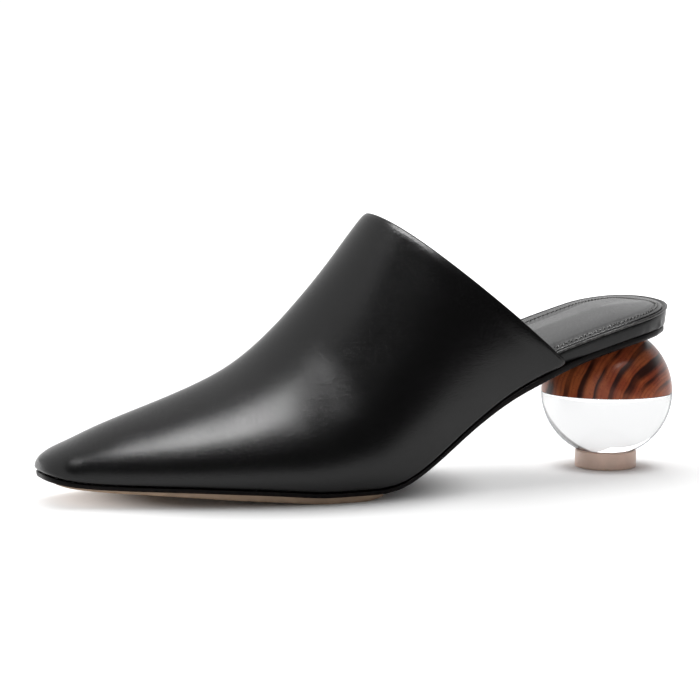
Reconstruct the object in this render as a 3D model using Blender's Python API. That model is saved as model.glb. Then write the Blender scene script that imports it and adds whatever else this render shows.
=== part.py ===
"""Closed toe mule for the left foot, with a square toe, a high vamp and a half wood, half clear ball heel.

Metres, +Z up. The toe points along -X, the outer side of the shoe faces -Y, and the origin is the middle of
the top lift's foot, on the floor, straight under the ball of the heel.
"""

import math

import bmesh
import bpy
import numpy as np

MM = 0.001

# Lengths and widths of the last
SHOE_LENGTH = 247.0 * MM
HEEL_AXIS_FROM_BACK = 23.5 * MM
BALL_WIDTH = 78.0 * MM
TOE_CORNER_LENGTH = 9.0 * MM
TOE_SQUARENESS = 2.7
HEEL_CURVE_LENGTH = 29.0 * MM
HEEL_ROUNDNESS = 2.15

# Heights of the last
TOE_SPRING = 6.6 * MM
INSTEP_HEIGHT = 95.0 * MM
TOE_FRONT_SHARE = 0.50
TOP_EDGE_ROLL = 0.5 * MM
TIP_DROP = 0.6 * MM
TOP_LINE_BOW = 1.03

# Thicknesses of the layers, and the clearance at which glued pieces meet
UPPER_WALL = 2.0 * MM
TREAD_THICKNESS = 1.9 * MM
OUTSOLE_HEEL_THICKNESS = 2.8 * MM
OUTSOLE_TOE_THICKNESS = 1.5 * MM
INSOLE_HEEL_THICKNESS = 6.6 * MM
INSOLE_TOE_THICKNESS = 2.6 * MM
ARCH_RISE = 2.2 * MM
SOCK_THICKNESS = 1.1 * MM
GLUE_GAP = 0.3 * MM

# Edges of the layers, measured inwards from the edge of the last
OUTSOLE_INSET = 0.3 * MM
OUTSOLE_HEEL_INSET = 3.6 * MM
OUTSOLE_BEVEL = 0.4 * MM
OUTSOLE_HEEL_BEVEL = 1.8 * MM
INSOLE_TAPER = 1.4 * MM
RIM_WIDTH = 1.5 * MM
RIM_BEAD = 0.5 * MM
RIM_HEIGHT = 1.1 * MM
TREAD_INSET = 0.2 * MM
TREAD_TOE_INSET = 3.4 * MM
TREAD_TAPER = 0.25 * MM
TREAD_END_ARC = 9.0 * MM
SEAM_INSET = 3.6 * MM
PAD_CROWN = 2.4 * MM
SOCK_START = 0.055

# The heel, from the floor up
TOPLIFT_DIAMETER = 23.5 * MM
TOPLIFT_HEIGHT = 6.8 * MM
TOPLIFT_CHAMFER = 0.4 * MM
BALL_DIAMETER = 50.0 * MM
SEAT_CUT_DEPTH = 4.2 * MM

# Faces along and around each piece
CAP_STEPS = 6
UPPER_ROW_STEPS = 3
UPPER_SIDE_STEPS = 17
WAIST_STEPS = 3
ROUND_STEPS = 40

BALL_RADIUS = BALL_DIAMETER / 2
TOPLIFT_RADIUS = TOPLIFT_DIAMETER / 2
BALL_CENTRE_Z = TOPLIFT_HEIGHT + GLUE_GAP + math.sqrt(BALL_RADIUS**2 - TOPLIFT_RADIUS**2)
HEEL_RISE = BALL_CENTRE_Z + BALL_RADIUS - SEAT_CUT_DEPTH
TREAD_LEVEL = TREAD_THICKNESS + GLUE_GAP
HEEL_AXIS = SHOE_LENGTH - HEEL_AXIS_FROM_BACK
INSOLE_INSET = UPPER_WALL + GLUE_GAP


def table(columns, *rows):
    """A short table as one array for each named column."""
    return {name: np.array([row[i] for row in rows]) for i, name in enumerate(columns)}


# The edge of the last seen from above: half widths to each side of the middle line, as shares of the ball
# width, at shares of the shoe's length from the toe tip.
OUTLINE = table(
    ("along", "outer", "inner"),
    (0.000, 0.148, 0.172),
    (0.036, 0.192, 0.212),
    (0.080, 0.250, 0.262),
    (0.140, 0.322, 0.325),
    (0.200, 0.386, 0.380),
    (0.280, 0.460, 0.444),
    (0.345, 0.500, 0.478),
    (0.395, 0.515, 0.482),
    (0.445, 0.510, 0.455),
    (0.520, 0.470, 0.396),
    (0.600, 0.420, 0.357),
    (0.680, 0.383, 0.345),
    (0.760, 0.364, 0.355),
    (0.820, 0.366, 0.366),
    (0.890, 0.374, 0.374),
    (1.000, 0.374, 0.374),
)

# The underside of the outsole seen from the side: the toe's lift as a share of the toe spring, and the
# rise to the heel as a share of the height from the tread to the seat over the heel's axis.
PROFILE = table(
    ("along", "spring", "rise"),
    (0.000, 1.000, 0.000),
    (0.017, 0.850, 0.000),
    (0.042, 0.700, 0.000),
    (0.094, 0.570, 0.000),
    (0.173, 0.460, 0.000),
    (0.237, 0.350, 0.000),
    (0.302, 0.210, 0.000),
    (0.345, 0.080, 0.000),
    (0.375, 0.000, 0.000),
    (0.455, 0.000, 0.000),
    (0.485, 0.000, 0.014),
    (0.510, 0.000, 0.055),
    (0.545, 0.000, 0.153),
    (0.580, 0.000, 0.272),
    (0.615, 0.000, 0.399),
    (0.650, 0.000, 0.513),
    (0.685, 0.000, 0.614),
    (0.720, 0.000, 0.696),
    (0.760, 0.000, 0.775),
    (0.810, 0.000, 0.857),
    (0.860, 0.000, 0.935),
    (0.905, 0.000, 1.000),
    (0.950, 0.000, 1.040),
    (1.000, 0.000, 1.062),
)

# The sections of the upper, from behind the toe's corners to the top line. Each stands on the feather edge
# at foot and reaches the ridge at top, both shares of the shoe's length. rise is the ridge's height over
# the outsole as a share of the instep height. side is the ridge's shift to the inner side as a share of
# the ball width. wall and crown say how far the side stays upright and the top stays level, as shares of
# the section's height and half width. swell is how far the side bulges, as a share of the ball width.
SECTIONS = table(
    ("foot", "top", "rise", "side", "wall", "crown", "swell"),
    (0.036, 0.036, 0.121, 0.012, 0.50, 0.62, 0.004),
    (0.088, 0.090, 0.193, 0.018, 0.48, 0.50, 0.010),
    (0.152, 0.160, 0.260, 0.026, 0.47, 0.42, 0.014),
    (0.224, 0.231, 0.333, 0.034, 0.48, 0.38, 0.018),
    (0.296, 0.288, 0.407, 0.040, 0.52, 0.37, 0.024),
    (0.368, 0.330, 0.490, 0.042, 0.56, 0.38, 0.030),
    (0.440, 0.365, 0.579, 0.040, 0.60, 0.40, 0.036),
    (0.515, 0.398, 0.668, 0.036, 0.63, 0.42, 0.040),
    (0.590, 0.430, 0.761, 0.032, 0.66, 0.44, 0.040),
    (0.660, 0.460, 0.857, 0.028, 0.68, 0.46, 0.038),
    (0.722, 0.484, 0.932, 0.025, 0.70, 0.48, 0.034),
    (0.779, 0.504, 0.978, 0.022, 0.72, 0.50, 0.028),
)

# The tread's thickness as a share of its full thickness, from its front end to its back end.
TREAD = table(
    ("along", "share"),
    (0.000, 0.25),
    (0.060, 0.28),
    (0.110, 0.38),
    (0.170, 0.62),
    (0.235, 0.88),
    (0.300, 1.00),
    (0.450, 1.00),
    (0.472, 0.75),
    (0.500, 0.25),
)

# How far the outsole and the insole have grown from their toe values to their heel values, how much of
# the arch shows along the inner edge, and how much of the pad's crown.
LAYERS = table(
    ("along", "outsole", "insole", "arch", "crown"),
    (0.000, 0.25, 0.00, 0.00, 0.00),
    (0.060, 0.00, 0.00, 0.00, 0.00),
    (0.450, 0.00, 0.00, 0.00, 0.00),
    (0.600, 0.25, 0.45, 0.70, 0.35),
    (0.720, 0.75, 0.90, 1.00, 0.80),
    (0.810, 1.00, 1.00, 1.00, 1.00),
    (0.900, 1.00, 1.00, 0.50, 1.00),
    (1.000, 1.00, 1.00, 0.20, 1.00),
)


def curve(rows, column, at, along="along"):
    """The value of a column at a share of the length, on a smooth curve that never overshoots its rows."""
    x, y = rows[along], rows[column]
    step, slope = np.diff(x), np.diff(y) / np.diff(x)
    tangent = np.empty_like(y)
    tangent[0], tangent[-1] = slope[0], slope[-1]
    for i in range(1, len(x) - 1):
        before, after = slope[i - 1], slope[i]
        if before * after <= 0:
            tangent[i] = 0
            continue
        far, near = 2 * step[i] + step[i - 1], step[i] + 2 * step[i - 1]
        tangent[i] = (far + near) / (far / before + near / after)
    at = np.clip(np.asarray(at, float), x[0], x[-1])
    i = np.clip(np.searchsorted(x, at, side="right") - 1, 0, len(x) - 2)
    h = step[i]
    t = (at - x[i]) / h
    return (
        (2 * t**3 - 3 * t**2 + 1) * y[i]
        + (t**3 - 2 * t**2 + t) * h * tangent[i]
        + (3 * t**2 - 2 * t**3) * y[i + 1]
        + (t**3 - t**2) * h * tangent[i + 1]
    )


def world_x(distance):
    """The X of a point this far behind the toe tip."""
    return distance - HEEL_AXIS


def corner(distance, length, power):
    """How wide a rounded end is at a distance from its tip, from 0 at the tip to 1 past its curve."""
    near = np.clip(distance / length, 0, 1)
    return (1 - (1 - near) ** power) ** (1 / power)


def corner_steps(length, power, count):
    """Distances from the tip that space points evenly round a rounded end."""
    turn = np.linspace(0, math.pi / 2, count + 1)
    return length * (1 - np.cos(turn) ** (2 / power))


def edge_y(distance, side):
    """The Y of the last's edge, on the outer side (-1) or the inner side (1)."""
    along = distance / SHOE_LENGTH
    outer = curve(OUTLINE, "outer", along) * BALL_WIDTH
    inner = curve(OUTLINE, "inner", along) * BALL_WIDTH
    ends = corner(distance, TOE_CORNER_LENGTH, TOE_SQUARENESS) * corner(
        SHOE_LENGTH - distance, HEEL_CURVE_LENGTH, HEEL_ROUNDNESS
    )
    return (inner - outer) / 2 + side * (inner + outer) / 2 * ends


def underside_z(distance, y=0.0):
    """The height of the outsole's underside, which is level across."""
    along = distance / SHOE_LENGTH
    spring = curve(PROFILE, "spring", along) * TOE_SPRING
    rise = curve(PROFILE, "rise", along) * (HEEL_RISE - TREAD_LEVEL)
    return TREAD_LEVEL + spring + rise


def outsole_top_z(distance, y=0.0):
    share = curve(LAYERS, "outsole", distance / SHOE_LENGTH)
    thickness = OUTSOLE_TOE_THICKNESS + share * (OUTSOLE_HEEL_THICKNESS - OUTSOLE_TOE_THICKNESS)
    return underside_z(distance) + thickness


def insole_bottom_z(distance, y=0.0):
    return outsole_top_z(distance) + GLUE_GAP


def insole_top_z(distance, y):
    """The height of the insole's top, which rises across the foot towards the arch."""
    share = curve(LAYERS, "insole", distance / SHOE_LENGTH)
    thickness = INSOLE_TOE_THICKNESS + share * (INSOLE_HEEL_THICKNESS - INSOLE_TOE_THICKNESS)
    arch = curve(LAYERS, "arch", distance / SHOE_LENGTH) * ARCH_RISE
    return insole_bottom_z(distance) + thickness + arch * np.clip(0.5 + y / BALL_WIDTH, 0, 1)


def sole_distances(start=0.0, end=1.0):
    """Distances from the toe tip for the rows of a sole layer, closer together round its ends."""
    toe = corner_steps(TOE_CORNER_LENGTH, TOE_SQUARENESS, CAP_STEPS)
    heel = SHOE_LENGTH - corner_steps(HEEL_CURVE_LENGTH, HEEL_ROUNDNESS, CAP_STEPS + 2)[::-1]
    vamp = section_rows()["foot"][CAP_STEPS:] * SHOE_LENGTH
    waist = np.linspace(vamp[-1], heel[0], WAIST_STEPS + 1)[1:-1]
    whole = np.concatenate([toe, vamp[1:], waist, heel])
    inside = whole[(whole > start * SHOE_LENGTH + MM) & (whole < end * SHOE_LENGTH - MM)]
    return np.concatenate([[start * SHOE_LENGTH], inside, [end * SHOE_LENGTH]])


def edges(distances, inset):
    """The outer and inner edge of a layer as rows of X, Y, moved inwards from the last's edge by inset."""
    sides = []
    for side in (-1, 1):
        line = np.stack([world_x(distances), edge_y(distances, side)], axis=1)
        other = np.stack([world_x(distances), edge_y(distances, -side)], axis=1)
        closed_front = np.allclose(line[0], other[0], atol=1e-9)
        closed_back = np.allclose(line[-1], other[-1], atol=1e-9)
        before = other[1:2] if closed_front else 2 * line[:1] - line[1:2]
        after = other[-2:-1] if closed_back else 2 * line[-1:] - line[-2:-1]
        whole = np.concatenate([before, line, after])
        along = whole[2:] - whole[:-2]
        inwards = np.stack([along[:, 1], -along[:, 0]], axis=1) * side
        inwards /= np.linalg.norm(inwards, axis=1, keepdims=True)
        sides.append(line + inwards * np.reshape(inset, (-1, 1)))
    return sides


def new_object(name, points, faces, material, smooth_angle=35):
    """A closed mesh object with doubled points merged and its faces turned outwards."""
    mesh = bpy.data.meshes.new(name)
    mesh.from_pydata([tuple(p) for p in points], [], faces)
    shape = bmesh.new()
    shape.from_mesh(mesh)
    bmesh.ops.remove_doubles(shape, verts=shape.verts, dist=0.02 * MM)
    bmesh.ops.dissolve_degenerate(shape, edges=shape.edges, dist=0.005 * MM)
    bmesh.ops.recalc_face_normals(shape, faces=shape.faces)
    shape.to_mesh(mesh)
    shape.free()
    mesh.materials.append(material)
    mesh.shade_smooth()
    mesh.set_sharp_from_angle(angle=math.radians(smooth_angle))
    thing = bpy.data.objects.new(name, mesh)
    bpy.context.scene.collection.objects.link(thing)
    return thing


def surface(name, colour, roughness, metallic=0.0, transmission=0.0, ior=1.5, coat=0.0):
    """A plain material: the piece's colour, roughness and metallic value."""
    material = bpy.data.materials.new(name)
    material.use_nodes = True
    shader = material.node_tree.nodes["Principled BSDF"]
    shader.inputs["Base Color"].default_value = (*colour, 1)
    shader.inputs["Roughness"].default_value = roughness
    shader.inputs["Metallic"].default_value = metallic
    shader.inputs["Transmission Weight"].default_value = transmission
    shader.inputs["IOR"].default_value = ior
    shader.inputs["Coat Weight"].default_value = coat
    return material


def ring_faces(rings, count, closed=True):
    """Quads between each ring of points and the next, where every ring has count points."""
    faces = []
    for ring in range(rings - 1):
        for i in range(count if closed else count - 1):
            a, b = ring * count + i, ring * count + (i + 1) % count
            faces.append((a, b, b + count, a + count))
    return faces


def layer(name, distances, hoops, material):
    """A sole layer whose cross section is a closed hoop of points, the same number in each row.

    hoops holds arrays of rows by points by X, Y, Z. The first and last hoop are closed with a face.
    """
    rows, count = hoops.shape[:2]
    faces = ring_faces(rows, count)
    faces.append(tuple(range(count)))
    faces.append(tuple((rows - 1) * count + i for i in reversed(range(count))))
    assert rows == len(distances)
    return new_object(name, hoops.reshape(-1, 3), faces, material)


def across(outer, inner, shares):
    """Points between the outer and the inner edge of each row, at shares of the way across."""
    shares = np.asarray(shares)[None, :, None]
    return outer[:, None, :] * (1 - shares) + inner[:, None, :] * shares


def with_height(flat, height):
    """X, Y points given a Z by a function of the distance from the toe tip and of Y."""
    high = height(flat[..., 0] + HEEL_AXIS, flat[..., 1])
    return np.concatenate([flat, high[..., None]], axis=-1)


def plate(name, distances, top_inset, bottom_inset, top, bottom, material):
    """A layer whose top and bottom follow two height functions, each moved in from the last's edge."""
    shares = np.linspace(0, 1, 5)
    upper_face = with_height(across(*edges(distances, top_inset), shares), top)
    lower_face = with_height(across(*edges(distances, bottom_inset), shares[::-1]), bottom)
    return layer(name, distances, np.concatenate([upper_face, lower_face], axis=1), material)


def build_outsole(material):
    distances = sole_distances()
    behind_vamp = np.clip((distances / SHOE_LENGTH - 0.72) / 0.12, 0, 1)
    ease = behind_vamp**2 * (3 - 2 * behind_vamp)
    inset = OUTSOLE_INSET + ease * (OUTSOLE_HEEL_INSET - OUTSOLE_INSET)
    bevel = OUTSOLE_BEVEL + ease * (OUTSOLE_HEEL_BEVEL - OUTSOLE_BEVEL)
    return plate("outsole", distances, inset, inset + bevel, outsole_top_z, underside_z, material)


def build_tread(material):
    """The forefoot sole: full thickness over the flat spot, skived thin to both ends."""
    start, end = TREAD["along"][0], TREAD["along"][-1]
    distances = sole_distances(start, end)

    def top(distance, y):
        return underside_z(distance) - GLUE_GAP

    def bottom(distance, y):
        share = curve(TREAD, "share", distance / SHOE_LENGTH)
        return np.maximum(top(distance, y) - share * TREAD_THICKNESS, 0)

    past_toe = np.clip(distances / (0.10 * SHOE_LENGTH), 0, 1)
    inset = OUTSOLE_INSET + OUTSOLE_BEVEL + TREAD_INSET + (1 - past_toe) ** 2 * TREAD_TOE_INSET
    shares = np.linspace(0, 1, 7)
    to_end = np.clip((distances / distances[-1] - 0.7) / 0.3, 0, 1)[:, None]

    def bowed(inset, shares):
        """Points across each row, with the rows near the back end bowed forwards at their sides."""
        outer, inner = edges(distances, inset)
        flat = across(outer, inner, shares)
        straight = flat[..., 0] + HEEL_AXIS
        bent = straight - TREAD_END_ARC * to_end**2 * (2 * shares - 1) ** 2
        for side, weight in ((-1, 1 - shares), (1, shares)):
            flat[..., 1] += (edge_y(bent, side) - edge_y(straight, side)) * weight
        flat[..., 0] = world_x(bent)
        return flat

    upper_face = with_height(bowed(inset, shares), top)
    lower_face = with_height(bowed(inset + TREAD_TAPER, shares[::-1]), bottom)
    return layer("forefoot_tread", distances, np.concatenate([upper_face, lower_face], axis=1), material)


def build_insole(material):
    """The wrapped insole: an upright band with a small bead along its top edge, and a level top."""
    distances = sole_distances()
    outer, inner = edges(distances, INSOLE_INSET)
    outer_band, inner_band = edges(distances, INSOLE_INSET + RIM_BEAD)
    outer_foot, inner_foot = edges(distances, INSOLE_INSET + INSOLE_TAPER)

    def bead_bottom(distance, y):
        return insole_top_z(distance, y) - RIM_HEIGHT

    def bead_middle(distance, y):
        return insole_top_z(distance, y) - RIM_HEIGHT / 2

    parts = [
        with_height(outer_foot[:, None], insole_bottom_z),
        with_height(outer_band[:, None], bead_bottom),
        with_height(outer[:, None], bead_middle),
        with_height(across(outer_band, inner_band, np.linspace(0, 1, 4)), insole_top_z),
        with_height(inner[:, None], bead_middle),
        with_height(inner_band[:, None], bead_bottom),
        with_height(inner_foot[:, None], insole_bottom_z),
    ]
    return layer("insole", distances, np.concatenate(parts, axis=1), material)


def build_sock(material):
    """The padded sock lining: a level margin, a sunk seam, and a pad that is crowned at the heel."""
    distances = sole_distances(SOCK_START)
    edge_inset = INSOLE_INSET + RIM_BEAD + RIM_WIDTH
    outer, inner = edges(distances, edge_inset)
    width = np.maximum(np.linalg.norm(inner - outer, axis=1), 1e-6)
    seam = np.minimum(SEAM_INSET / width, 0.42)
    shares = np.stack(
        [0 * seam, seam * 0.5, seam, seam + (0.5 - seam) * 0.22, seam + (0.5 - seam) * 0.55, 0.5 + 0 * seam], axis=1
    )
    shares = np.concatenate([shares, 1 - shares[:, -2::-1]], axis=1)
    flat = outer[:, None, :] * (1 - shares[..., None]) + inner[:, None, :] * shares[..., None]
    from_seam = np.clip((np.minimum(shares, 1 - shares) - seam[:, None]) / (0.5 - seam[:, None]), 0, 1)
    near_back = np.clip((SHOE_LENGTH - edge_inset - SEAM_INSET - distances) / (18 * MM), 0, 1)[:, None]
    crown = curve(LAYERS, "crown", distances / SHOE_LENGTH)[:, None] * PAD_CROWN
    swell = crown * np.sqrt(1 - (1 - from_seam) ** 2) * np.sqrt(1 - (1 - near_back) ** 2)
    distance_of_points = flat[..., 0] + HEEL_AXIS
    bottom = insole_top_z(distance_of_points, flat[..., 1]) + GLUE_GAP
    top = np.concatenate([flat, (bottom + SOCK_THICKNESS + swell)[..., None]], axis=-1)
    under_flat = across(outer, inner, np.linspace(1, 0, 5))
    under = with_height(under_flat, lambda d, y: insole_top_z(d, y) + GLUE_GAP)
    return layer("sock_lining", distances, np.concatenate([top, under], axis=1), material)


def section_rows():
    """The upper's sections as one array for each column: the toe's rounded front, then the table."""
    front = corner_steps(TOE_CORNER_LENGTH, TOE_SQUARENESS, CAP_STEPS)[:-1] / SHOE_LENGTH
    count = len(SECTIONS["foot"])
    place = np.linspace(0, count - 1, (count - 1) * UPPER_ROW_STEPS + 1)
    numbered = {**SECTIONS, "row": np.arange(count, dtype=float)}
    rows = {name: curve(numbered, name, place, along="row") for name in SECTIONS}
    first = {name: rows[name][0] for name in rows}
    joined = {name: np.concatenate([np.full(len(front), first[name]), rows[name]]) for name in rows}
    joined["foot"][: len(front)] = front
    joined["top"][: len(front)] = front
    slope = (SECTIONS["rise"][1] - SECTIONS["rise"][0]) / (SECTIONS["top"][1] - SECTIONS["top"][0])
    joined["rise"][: len(front)] = first["rise"] + slope * (front - first["foot"])
    toe = corner(joined["foot"] * SHOE_LENGTH, TOE_CORNER_LENGTH, 2)
    joined["rise"] *= TOE_FRONT_SHARE + (1 - TOE_FRONT_SHARE) * toe
    return joined


def section_shape(wall, crown, count):
    """One side of a section as shares out and up, from its foot to its ridge, on a cubic curve."""
    t = np.linspace(0, 1, count + 1)
    out = (1 - t) ** 3 + 3 * (1 - t) ** 2 * t + 3 * (1 - t) * t**2 * crown
    up = 3 * (1 - t) ** 2 * t * wall + 3 * (1 - t) * t**2 + t**3
    return out, up


def swell_shape(up):
    """How the side bulges over its height: nothing at the foot and ridge, most a third of the way up."""
    return 6.75 * up * (1 - up) ** 2


def upper_grid():
    """The outer face of the upper, as sections by points by X, Y, Z, from the outer foot to the inner."""
    rows = section_rows()
    grid = []
    foot_distances = rows["foot"] * SHOE_LENGTH
    feet = edges(foot_distances, 0.0)
    inset_feet = edges(foot_distances, MM)
    for i, foot in enumerate(foot_distances):
        ridge = rows["top"][i] * SHOE_LENGTH
        foot_z = outsole_top_z(foot) + GLUE_GAP
        ridge_z = outsole_top_z(ridge) + GLUE_GAP + rows["rise"][i] * INSTEP_HEIGHT
        middle = (edge_y(foot, -1) + edge_y(foot, 1)) / 2
        aside = corner(foot, TOE_CORNER_LENGTH, TOE_SQUARENESS)
        ridge_y = middle + aside * (rows["side"][i] * BALL_WIDTH - middle)
        out, up = section_shape(rows["wall"][i], rows["crown"][i], UPPER_SIDE_STEPS)
        if i == 0:
            up = np.linspace(0, 1, UPPER_SIDE_STEPS + 1)
        halves = []
        for side, line, inset_line in ((-1, feet[0], inset_feet[0]), (1, feet[1], inset_feet[1])):
            outwards = (line[i] - inset_line[i]) / MM
            distance = foot + (ridge - foot) * up**TOP_LINE_BOW
            y = ridge_y + (edge_y(distance, side) - ridge_y) * out
            swell = rows["swell"][i] * BALL_WIDTH * swell_shape(up)
            x = world_x(distance) + outwards[0] * swell
            z = foot_z + (ridge_z - foot_z) * up
            halves.append(np.stack([x, y + outwards[1] * swell, z], axis=1))
        grid.append(np.concatenate([halves[0], halves[1][-2::-1]]))
    return np.array(grid)


def grid_normals(grid):
    """Outward normals of a grid of points, with those that share a place given one normal."""
    rows, count = grid.shape[:2]
    flat = grid.reshape(-1, 3)
    _, shared = np.unique(np.round(flat / (0.02 * MM)), axis=0, return_inverse=True)
    shared = shared.reshape(-1)
    total = np.zeros((shared.max() + 1, 3))
    quads = np.array(ring_faces(rows, count, closed=False))
    a, b, c, d = (flat[quads[:, k]] for k in range(4))
    face = np.cross(c - a, d - b)
    for k in range(4):
        np.add.at(total, shared[quads[:, k]], face)
    total /= np.maximum(np.linalg.norm(total, axis=1, keepdims=True), 1e-12)
    return total[shared].reshape(rows, count, 3)


def build_upper(material):
    """The vamp as one shell: outer face, inner face a wall thickness inside it, open below and behind."""
    outside = upper_grid()
    normals = grid_normals(outside)
    if (normals[-1, outside.shape[1] // 2] * (0, 0, 1)).sum() < 0:
        normals = -normals
    inside = outside - normals * UPPER_WALL
    tip, ridge = outside[0], outside.shape[1] // 2
    climb = (tip[:, 2] - tip[0, 2]) / (tip[ridge, 2] - tip[0, 2])
    inside[0] = tip + np.outer(np.ones(len(tip)), (UPPER_WALL, 0, 0))
    inside[0, :, 2] = tip[0, 2] + climb * (inside[0, ridge, 2] - TIP_DROP - tip[0, 2])
    foot_distances = section_rows()["foot"] * SHOE_LENGTH
    feet = edges(foot_distances, UPPER_WALL)
    for column, line in ((0, feet[0]), (-1, feet[1])):
        inside[:, column, :2] = line
        inside[:, column, 2] = outsole_top_z(line[:, 0] + HEEL_AXIS) + GLUE_GAP
    backwards = outside[-1] - outside[-2]
    backwards /= np.linalg.norm(backwards, axis=1, keepdims=True)
    roll = (outside[-1] + inside[-1]) / 2 + backwards * TOP_EDGE_ROLL
    rows, count = outside.shape[:2]
    points = np.concatenate([outside.reshape(-1, 3), inside.reshape(-1, 3), roll])
    faces = ring_faces(rows, count, closed=False)
    offset = rows * count
    faces += [tuple(offset + k for k in reversed(face)) for face in ring_faces(rows, count, closed=False)]
    for i in range(rows - 1):
        for column in (0, count - 1):
            a, b = i * count + column, (i + 1) * count + column
            faces.append((a, b, b + offset, a + offset))
    last, middle = (rows - 1) * count, 2 * offset
    for i in range(count - 1):
        faces.append((last + i, last + i + 1, middle + i + 1, middle + i))
        faces.append((middle + i, middle + i + 1, offset + last + i + 1, offset + last + i))
    for column in (0, count - 1):
        faces.append((last + column, middle + column, offset + last + column))
    return new_object("upper", points, faces, material)


def turned(name, profile, material, smooth_angle=35):
    """A solid turned about the Z axis from radius and height pairs, that start and end on the axis."""
    angles = np.linspace(0, 2 * math.pi, ROUND_STEPS, endpoint=False)
    profile = np.array(profile)
    points = [
        (radius * math.cos(angle), radius * math.sin(angle), height)
        for radius, height in profile
        for angle in angles
    ]
    faces = ring_faces(len(profile), ROUND_STEPS)
    return new_object(name, points, faces, material, smooth_angle)


def ball_arc(start_z, end_z, steps):
    """Points of the ball's outline between two heights, from the floor's side up or from the top down."""
    low = math.asin(np.clip((start_z - BALL_CENTRE_Z) / BALL_RADIUS, -1, 1))
    high = math.asin(np.clip((end_z - BALL_CENTRE_Z) / BALL_RADIUS, -1, 1))
    turns = np.linspace(low, high, steps + 1)
    return [(BALL_RADIUS * math.cos(t), BALL_CENTRE_Z + BALL_RADIUS * math.sin(t)) for t in turns]


def build_toplift(material):
    r, h, c = TOPLIFT_RADIUS, TOPLIFT_HEIGHT, TOPLIFT_CHAMFER
    profile = [(0, 0), (r - c, 0), (r, c), (r, h - c / 2), (r - c / 2, h), (0, h)]
    return turned("toplift", profile, material)


def build_heel_clear(material):
    foot = TOPLIFT_HEIGHT + GLUE_GAP
    seam = BALL_CENTRE_Z - GLUE_GAP / 2
    profile = [(0, foot)] + ball_arc(foot, seam, 11) + [(0, seam)]
    return turned("heel_clear", profile, material, smooth_angle=40)


def build_heel_wood(material):
    """The wooden half of the ball, its top cut to the slope of the outsole."""
    seam = BALL_CENTRE_Z + GLUE_GAP / 2
    profile = [(0, seam)] + ball_arc(seam, BALL_CENTRE_Z + BALL_RADIUS, 12)
    wood = turned("heel_wood", profile, material, smooth_angle=40)
    reach = 1.5 * BALL_RADIUS
    lines = []
    for distance in np.linspace(HEEL_AXIS - reach, SHOE_LENGTH + reach / 4, 14):
        low = underside_z(min(distance, SHOE_LENGTH)) - GLUE_GAP
        x, high = world_x(distance), BALL_CENTRE_Z + 3 * BALL_RADIUS
        lines.append([(x, -reach, low), (x, reach, low), (x, reach, high), (x, -reach, high)])
    points = np.array(lines).reshape(-1, 3)
    faces = ring_faces(len(lines), 4) + [(0, 1, 2, 3), tuple(len(points) - 1 - i for i in range(4))]
    cutter = new_object("seat_cutter", points, faces, material)
    cutter.hide_render = True
    cutter.display_type = "WIRE"
    cut = wood.modifiers.new("seat", "BOOLEAN")
    cut.operation = "DIFFERENCE"
    cut.solver = "EXACT"
    cut.object = cutter
    return wood


def main():
    for thing in list(bpy.data.objects):
        bpy.data.objects.remove(thing)
    calf = surface("black_calf", (0.012, 0.012, 0.013), 0.34, coat=0.2)
    kid = surface("black_kid", (0.022, 0.022, 0.023), 0.42)
    edge_ink = surface("edge_ink", (0.009, 0.009, 0.009), 0.30)
    sole_leather = surface("sole_leather", (0.46, 0.30, 0.18), 0.55)
    rosewood = surface("rosewood", (0.22, 0.055, 0.020), 0.22, coat=0.8)
    clear = surface("clear_acrylic", (1.0, 1.0, 1.0), 0.0, transmission=1.0, ior=1.49)
    nude = surface("nude_rubber", (0.52, 0.36, 0.29), 0.42)
    build_upper(calf)
    build_insole(kid)
    build_sock(kid)
    build_outsole(edge_ink)
    build_tread(sole_leather)
    build_heel_wood(rosewood)
    build_heel_clear(clear)
    build_toplift(nude)


if __name__ == "__main__":
    main()
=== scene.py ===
import math

import bmesh
import bpy
import numpy as np
from bpy.props import FloatProperty, FloatVectorProperty, PointerProperty
from mathutils import Matrix, Vector


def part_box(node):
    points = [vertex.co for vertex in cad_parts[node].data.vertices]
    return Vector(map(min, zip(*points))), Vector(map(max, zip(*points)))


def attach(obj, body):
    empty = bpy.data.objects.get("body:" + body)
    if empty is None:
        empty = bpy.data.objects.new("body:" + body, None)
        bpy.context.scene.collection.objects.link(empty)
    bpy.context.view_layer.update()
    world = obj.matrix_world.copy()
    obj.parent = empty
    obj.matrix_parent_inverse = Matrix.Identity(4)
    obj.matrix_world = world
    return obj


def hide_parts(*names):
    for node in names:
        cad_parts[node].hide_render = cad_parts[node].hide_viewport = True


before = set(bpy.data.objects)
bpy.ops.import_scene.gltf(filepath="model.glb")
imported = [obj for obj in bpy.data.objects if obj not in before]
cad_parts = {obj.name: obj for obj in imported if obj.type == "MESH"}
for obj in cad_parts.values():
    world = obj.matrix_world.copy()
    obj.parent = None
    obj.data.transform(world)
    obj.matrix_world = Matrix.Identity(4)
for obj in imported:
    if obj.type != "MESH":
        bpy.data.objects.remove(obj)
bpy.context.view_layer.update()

bl_info = {
    "name": "Closed toe mule",
    "version": (1, 0, 0),
    "blender": (4, 5, 0),
    "location": "View3D > Sidebar > Mule",
    "description": "Fine meshes and finishes for a closed toe mule with a wood and clear ball heel",
    "category": "Add Mesh",
}

MM = 0.001


def table(columns, *rows):
    """A short table as one array for each named column."""
    return {name: np.array([row[i] for row in rows], float) for i, name in enumerate(columns)}


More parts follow.
